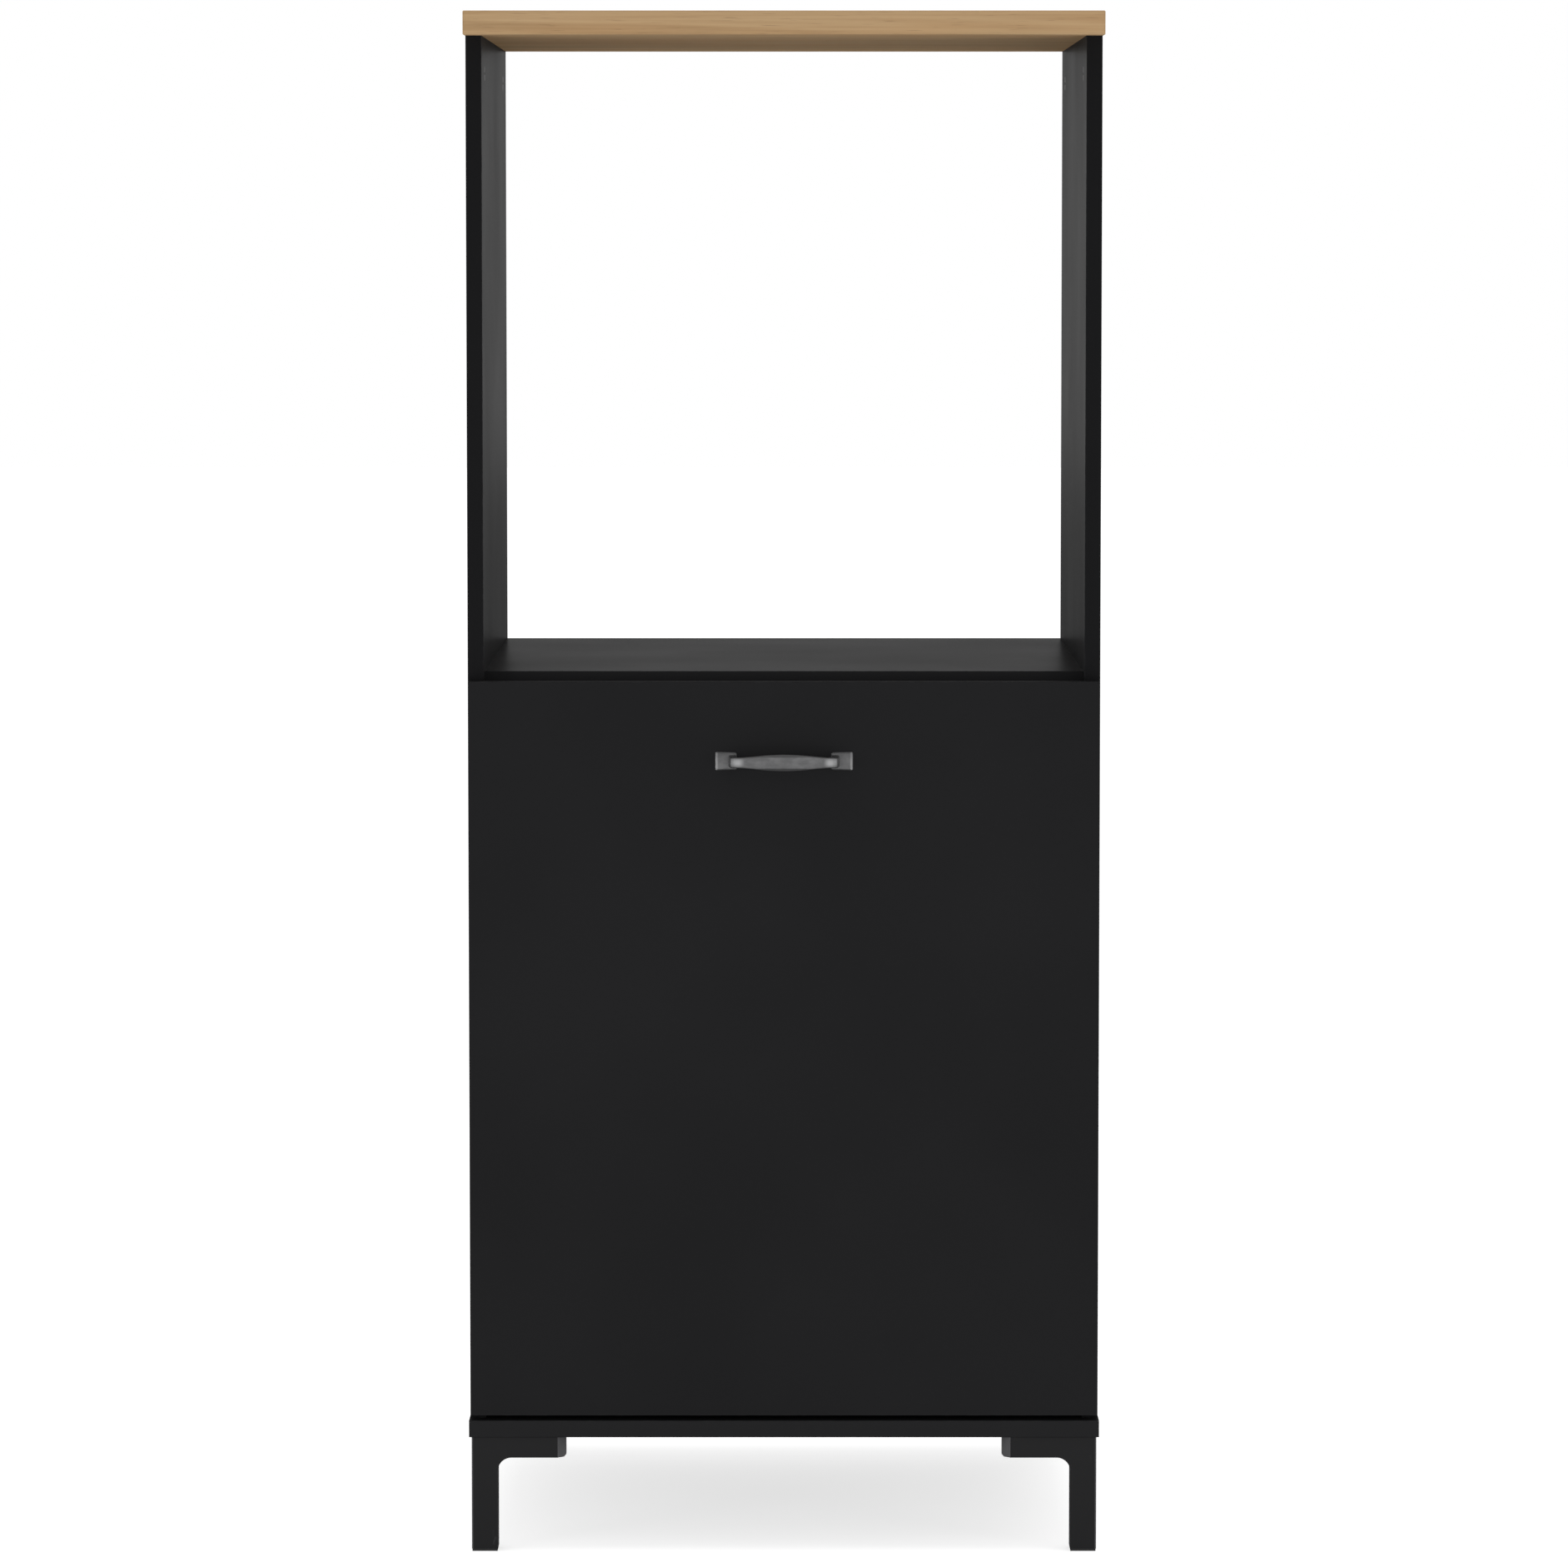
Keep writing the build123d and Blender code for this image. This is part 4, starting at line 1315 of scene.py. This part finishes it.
@dataclass
class Fasteners:
    """Screws, cams, cam bolts, dowels and bumpers, at the places of their CAD solids."""

    runner_screw: ScrewShape = ScrewShape(
        radius=1.75 * MM, head_radius=3.45 * MM, length=12 * MM
    )
    screws: tuple[Screws, ...] = (
        Screws("leg_screws", Way.DOWN, "cabinet", ScrewShape(2.5 * MM, 4.45 * MM, 31 * MM)),
        Screws("base_screws", Way.DOWN, "cabinet", ScrewShape(2.5 * MM, 4.95 * MM, 50 * MM)),
        Screws("cabinet_runner_screws", Way.TO_MIDDLE, "cabinet", runner_screw),
        Screws("drawer_runner_screws", Way.TO_OUTSIDE, "pull_out", runner_screw),
        Screws("front_screws", Way.BACK, "pull_out", ScrewShape(2 * MM, 3.95 * MM, 24 * MM)),
        Screws(
            "handle_screws",
            Way.BACK,
            "pull_out",
            ScrewShape(
                radius=2 * MM,
                head_radius=3.8 * MM,
                length=26.4 * MM,
                head_height=2.4 * MM,
                pitch=0.7 * MM,
                thread_depth=0.3 * MM,
            ),
        ),
    )
    cam_radius: float = 7.45 * MM
    cam_height: float = 12.45 * MM
    cam_edge: float = 0.5 * MM
    cam_slot: Triple = (1.6 * MM, 4.6 * MM, 2.0 * MM)
    cam_columns: int = 64
    bolt_profile: tuple[Span, ...] = (
        (0.0, 0.0),
        (2.5 * MM, 0.0),
        (3.0 * MM, -0.5 * MM),
        (3.0 * MM, -2.5 * MM),
        (2.0 * MM, -3.2 * MM),
        (2.0 * MM, -7.6 * MM),
        (3.0 * MM, -8.4 * MM),
        (3.0 * MM, -35.3 * MM),
        (2.5 * MM, -35.6 * MM),
        (2.5 * MM, -45.4 * MM),
        (0.0, -46.5 * MM),
    )
    bolt_columns: int = 24
    dowel_radius: float = 3.98 * MM
    dowel_length: float = 30 * MM
    dowel_tip: Span = (1.0 * MM, 1.2 * MM)
    dowel_columns: int = 96
    dowel_flutes: int = 16
    dowel_flute_depth: float = 0.35 * MM
    bumper_radius: float = 5 * MM
    bumper_height: float = 1.2 * MM
    bumper_rings: int = 10
    zinc: Metal = Metal(
        "zinc_plated_small",
        bright=colour(205, 206, 210),
        dull=colour(150, 151, 156),
        roughness=0.28,
        line_scale=(300.0, 300.0, 300.0),
    )
    cam_coat: CoatedCasting = CoatedCasting()
    bumper: Plastic = Plastic("clear_plastic", colour(225, 226, 226), 0.3, see_through=0.35)

    def put(
        self,
        node: str,
        name: str,
        shape: ScrewShape | TurnedShape,
        ways: np.ndarray,
        body: str,
        material: bpy.types.Material,
        rise: float = 0.0,
    ) -> None:
        """Puts a shape at each solid of a CAD node, as one piece in its place.

        Args:
            node: The CAD node.
            name: The new piece's name.
            shape: The shape.
            ways: The way out of each solid.
            body: The body that it rides on.
            material: Its material.
            rise: How far its face stands ahead of the solid's.
        """
        frames = outward_frames(solid_boxes(node), ways)
        frames[:, 3] += ways * rise
        points, faces = place_copies(*shape.surface(), frames)
        piece = make_piece(name, points, faces)
        dress(piece, material)
        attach(piece, body)
        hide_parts(node)
        LOG.info("fasteners: %s, %d pieces", name, len(frames))

    def build(self) -> None:
        """Makes all fasteners."""
        zinc = self.zinc.material()
        for kind in self.screws:
            ways = kind.way.vectors(solid_boxes(kind.node))
            name = f"{kind.node}_threaded"
            self.put(kind.node, name, kind.shape, ways, kind.body, zinc)
        self.build_cams(zinc)
        self.build_dowels()
        self.build_bumpers()

    def build_cams(self, zinc: bpy.types.Material) -> None:
        """Makes the cams in the shelf and the sides, and their bolts.

        Args:
            zinc: The bolts' metal.
        """
        boxes = solid_boxes("cam_locks")
        shelf_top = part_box("oven_shelf")[1].z
        in_shelf = boxes.mean(axis=1)[:, 2] < shelf_top
        ways = ways_by(in_shelf, boxes, Way.DOWN, Way.TO_MIDDLE)
        profile = disc_profile(self.cam_radius, self.cam_height, self.cam_edge)
        cam = TurnedShape(profile, self.cam_columns, self.cam_slot)
        coat = self.cam_coat.material("cam_locks")
        self.put("cam_locks", "cast_cams", cam, ways, "cabinet", coat)
        boxes = solid_boxes("cam_bolts")
        in_shelf = boxes.mean(axis=1)[:, 2] < shelf_top
        ways = ways_by(in_shelf, boxes, Way.TO_MIDDLE, Way.DOWN)
        bolt = TurnedShape(self.bolt_profile, self.bolt_columns)
        self.put("cam_bolts", "turned_cam_bolts", bolt, ways, "cabinet", zinc)

    def build_dowels(self) -> None:
        """Makes the fluted dowels."""
        boxes = solid_boxes("wood_dowels")
        upright = (boxes[:, 1] - boxes[:, 0]).argmax(axis=1) == 2
        ways = ways_by(upright, boxes, Way.DOWN, Way.TO_MIDDLE)
        radius, length, (inset, tip) = self.dowel_radius, self.dowel_length, self.dowel_tip
        dowel = TurnedShape(
            (
                (0.0, 0.0),
                (radius - inset, 0.0),
                (radius, -tip),
                (radius, tip - length),
                (radius - inset, -length),
                (0.0, -length),
            ),
            self.dowel_columns,
            flutes=self.dowel_flutes,
            flute_depth=self.dowel_flute_depth,
        )
        beech = Beech().material()
        self.put("wood_dowels", "fluted_dowels", dowel, ways, "cabinet", beech)

    def build_bumpers(self) -> None:
        """Makes the bumpers, whose domes are quarters of an ellipse."""
        radius, height = self.bumper_radius, self.bumper_height
        dome = tuple(
            (radius * math.sin(turn), -height * (1 - math.cos(turn)))
            for turn in np.linspace(0, math.pi / 2, self.bumper_rings)
        )
        shape = TurnedShape((*dome, (0.0, -height)))
        ways = Way.BACK.vectors(solid_boxes("front_bumpers"))
        clear = self.bumper.material()
        self.put(
            "front_bumpers", "domed_bumpers", shape, ways, "pull_out", clear
        )


class Member(Enum):
    """The three rolled members of a telescopic runner."""

    CABINET = "cabinet_runner"
    MIDDLE = "middle_runner"
    DRAWER = "drawer_runner"


@dataclass
class Runners:
    """Telescopic runners: the CAD's rolled members, and cages full of balls.

    Places in the section are distances from the side panel and from the centre line.
    """

    height: float = 45.0 * MM
    sheet: float = 1.0 * MM
    bend: float = 1.0 * MM
    ball_radius: float = 1.6 * MM
    ball_play: float = 0.1 * MM
    cage_sheet: float = 0.5 * MM
    cage_gap: float = 0.3 * MM
    cage_tab: float = 1.0 * MM
    inner_cage_drop: float = 0.35 * MM
    ball_pitch: float = 7.0 * MM
    ball_rings: int = 7
    ball_columns: int = 10
    zinc: Metal = Metal(
        "zinc_plated_strip",
        bright=colour(198, 200, 204),
        dull=colour(170, 172, 177),
        roughness=0.3,
        line_scale=(900.0, 9.0, 900.0),
    )
    steel: Metal = Metal(
        "polished_steel",
        bright=colour(214, 214, 216),
        dull=colour(176, 176, 180),
        roughness=0.1,
        line_scale=(200.0, 200.0, 200.0),
    )
    bodies: dict[Member, str] = field(
        default_factory=lambda: {
            Member.CABINET: "cabinet",
            Member.MIDDLE: "middle_runners",
            Member.DRAWER: "pull_out",
        }
    )

    def __post_init__(self) -> None:
        """Works out where the cages' webs and the balls run in the section."""
        diagonal = math.cos(math.radians(45))
        groove = self.ball_radius + self.ball_play + self.sheet / 2
        groove_step = groove * diagonal
        middle_web = 1.5 * self.sheet + 2 * self.cage_gap + self.cage_sheet
        half_sheets = (self.sheet + self.cage_sheet) / 2
        self.outer_cage_web = self.sheet + self.cage_gap + self.cage_sheet / 2
        self.inner_cage_web = middle_web + half_sheets + self.cage_gap
        out = middle_web + self.bend + self.bend * diagonal + groove_step
        up = (self.height - self.sheet) / 2 - groove
        self.outer_ball = (out, up)
        self.inner_ball = (out + 2 * groove_step, up - 2 * groove_step)

    @staticmethod
    def extrude(
        outline: np.ndarray, side: int, wall: float, level: float, start: float, end: float
    ) -> Shell:
        """Carries a sheet's two faces along the depth and closes its ends.

        Args:
            outline: The faces, as an array of (face, point, 2).
            side: -1 on the left of the cabinet and 1 on the right.
            wall: Distance of the side panel's inner face from the middle.
            level: Height of the runner's centre line.
            start: Front end along the depth.
            end: Rear end.

        Returns:
            Points and faces: the outline is a ring at each end, and each ring shrinks on to the
            sheet's middle line to close the end.
        """
        ring = np.concatenate((outline[0], outline[1][::-1]))
        middle = outline.mean(axis=0)
        closed = np.concatenate((middle, middle[::-1]))
        flat = np.stack((closed, ring, ring, closed))
        depth = np.array((start, start, end, end))[:, None] + np.zeros(len(ring))
        points = np.stack((side * (wall - flat[..., 0]), depth, level + flat[..., 1]), axis=-1)
        return points, ring_faces(*points.shape[:2])

    def build(self) -> None:
        """Makes the members and the cages of all four runners."""
        zinc, steel = self.zinc.material(), self.steel.material()
        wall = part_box("side_panel_right")[0].x
        levels = {}
        for member in Member:
            for box in ("lower", "upper"):
                for hand in ("left", "right"):
                    node = f"{member.value}_{box}_{hand}"
                    low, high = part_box(node)
                    levels[box] = (low.z + high.z) / 2
                    piece = merged_copy(node, f"rolled_{node}", smooth_degrees=40.0)
                    piece.modifiers.new("flats", "WEIGHTED_NORMAL").keep_sharp = True
                    dress(piece, zinc)
                    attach(piece, self.bodies[member])
                    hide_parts(node)
            LOG.info("runner members: %s", member.value)
        outer = (self.outer_cage_web, self.outer_ball, self.outer_ball[1])
        inner_tab = self.inner_ball[1] - self.inner_cage_drop
        inner = (self.inner_cage_web, self.inner_ball, inner_tab)
        for node, (web, ball, tab) in (("outer_ball_cages", outer), ("inner_ball_cages", inner)):
            self.build_cages(node, web, ball, tab, wall, list(levels.values()), (zinc, steel))

    def build_cages(
        self,
        node: str,
        web: float,
        ball: Span,
        tab: float,
        wall: float,
        levels: list[float],
        materials: tuple[bpy.types.Material, bpy.types.Material],
    ) -> None:
        """Makes the cages of one kind with their balls.

        Args:
            node: The CAD node that they replace and the body that they ride on.
            web: Place of the cage's web in the section.
            ball: Place of the upper ball row in the section.
            tab: Height of the cage's tabs above the centre line.
            wall: Distance of the side panel's inner face from the middle.
            levels: Heights of the runners' centre lines.
            materials: Metal of the strip and of the balls.
        """
        low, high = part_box(node)
        half, reach = self.cage_sheet / 2, ball[0] + self.cage_tab
        faces = []
        for front, top in ((web + half, tab - half), (web - half, tab + half)):
            faces.append(((reach, -top), (front, -top), (front, top), (reach, top)))
        shells = [
            self.extrude(np.array(faces), side, wall, level, low.y, high.y)
            for level in levels
            for side in (-1, 1)
        ]
        strips = make_piece(f"{node}_strips", *join_shells(shells), smooth_degrees=30.0)
        dress(strips, materials[0])
        rows = int((high.y - low.y - 4 * self.ball_radius) / self.ball_pitch)
        along = (low.y + high.y) / 2 + (np.arange(rows) - (rows - 1) / 2) * self.ball_pitch
        places = np.array(
            [
                (side * (wall - ball[0]), depth, level + up * ball[1])
                for level in levels
                for side in (-1, 1)
                for up in (-1, 1)
                for depth in along
            ]
        )
        upright = np.broadcast_to(np.eye(3), (len(places), 3, 3))
        frames = np.concatenate((upright, places[:, None, :]), axis=1)
        profile = tuple(
            (self.ball_radius * math.sin(turn), self.ball_radius * math.cos(turn))
            for turn in np.linspace(0, np.pi, self.ball_rings)
        )
        copies = place_copies(*TurnedShape(profile, self.ball_columns).surface(), frames)
        balls = make_piece(f"{node}_balls", *copies, smooth_degrees=80.0)
        dress(balls, materials[1])
        for piece in (strips, balls):
            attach(piece, node)
        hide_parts(node)
        LOG.info("cages: %s with %d balls", node, len(places))


@dataclass(frozen=True)
class Lamp:
    """A square soft lamp that points at the object."""

    name: str
    place: Triple
    size: float
    power: float

    def build(self, target: Vector) -> None:
        """Makes the lamp, which lights the object but isn't seen itself.

        Args:
            target: The point that it faces.
        """
        light = bpy.data.lights.new(self.name, "AREA")
        light.shape, light.size, light.energy = "SQUARE", self.size, self.power
        holder = link(self.name, light)
        place = Vector(self.place)
        holder.location = place
        holder.rotation_euler = (target - place).to_track_quat("-Z", "Y").to_euler()
        holder.visible_camera = False


@dataclass
class Studio:
    """Pale floor, white surroundings, soft lamps and the camera."""

    ambient: float = 0.57
    floor_size: float = 60.0
    floor_drop: float = 0.2 * MM
    floor_grey: float = 0.8
    floor_roughness: float = 0.9
    floor_glow: float = 0.66
    camera_distance: float = 6.382
    camera_height: float = 1.25
    tilt_degrees: float = 4.633
    lens: float = 155.17
    sensor_width: float = 36.0
    clip_end: float = 100.0
    target: Vector = field(default_factory=lambda: Vector((0.0, 0.0, 0.7)))
    lamps: tuple[Lamp, ...] = (
        Lamp("lamp_above", (0.0, 0.0, 4.2), 3.0, 34.0),
        Lamp("lamp_front_left", (-3.4, -3.4, 0.75), 0.9, 15.0),
        Lamp("lamp_front_right", (3.4, -3.2, 0.65), 0.9, 12.0),
        Lamp("lamp_left", (-3.6, -0.6, 0.5), 0.9, 16.0),
        Lamp("lamp_right", (3.6, -0.6, 0.5), 0.9, 16.0),
        Lamp("lamp_low", (0.0, -2.0, 0.3), 1.6, 9.0),
        Lamp("lamp_behind", (1.5, 4.0, 2.8), 2.4, 20.0),
    )

    def build(self) -> None:
        """Makes everything round the object."""
        self.build_world()
        self.build_floor()
        for lamp in self.lamps:
            lamp.build(self.target)
        self.build_camera()
        bpy.context.scene.view_settings.view_transform = "Standard"
        LOG.info("studio: floor, camera and %d lamps", len(self.lamps))

    def build_world(self) -> None:
        """White where it is seen, also in metal and plastic, and dimmer as a light."""
        world = bpy.data.worlds.new("studio_white")
        bpy.context.scene.world = world
        tree = Tree(world)
        seen = tree.rays("Camera", "Glossy", "Transmission")
        sky = tree.node(
            "ShaderNodeBackground",
            sockets={"Color": WHITE, "Strength": self.ambient + seen * (1.0 - self.ambient)},
        )
        tree.node("ShaderNodeOutputWorld", sockets={"Surface": sky.outputs["Background"]})

    def build_floor(self) -> None:
        """A white floor just under the glides, which keeps the object's shadow."""
        half, level = self.floor_size / 2, -self.floor_drop
        plan = ((-half, -half), (half, -half), (half, half), (-half, half))
        corners = [(x, y, level) for x, y in plan]
        mesh = bpy.data.meshes.new("floor")
        mesh.from_pydata(corners, [], [(0, 1, 2, 3)])
        floor = link("floor", mesh)
        graph = Graph("studio_floor")
        glow = (*(self.floor_glow,) * 3, 1.0)
        graph.set_shader(
            Base_Color=(*(self.floor_grey,) * 3, 1.0),
            Roughness=self.floor_roughness,
            Specular_IOR_Level=0.0,
            Emission_Color=graph.blend(graph.rays("Camera"), BLACK, glow),
            Emission_Strength=1.0,
        )
        mesh.materials.append(graph.material)

    def build_camera(self) -> None:
        """The photograph's point of view, leaning down so that the frame needs no shift."""
        lens = bpy.data.cameras.new("camera")
        lens.lens, lens.sensor_width, lens.clip_end = self.lens, self.sensor_width, self.clip_end
        camera = link("camera", lens)
        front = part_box("side_panel_left")[0].y
        camera.location = (0.0, front - self.camera_distance, self.camera_height)
        camera.rotation_euler = (math.radians(90.0 - self.tilt_degrees), 0.0, 0.0)
        bpy.context.scene.camera = camera


def main() -> None:
    """Builds every sub-assembly around the frame, then the studio."""
    logging.basicConfig(level=logging.INFO, format="%(name)s %(message)s")
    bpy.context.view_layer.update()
    for assembly in (Carcass(), PullOut(), Legs(), BowHandle(), Fasteners(), Runners(), Studio()):
        assembly.build()


if __name__ == "__main__":
    main()
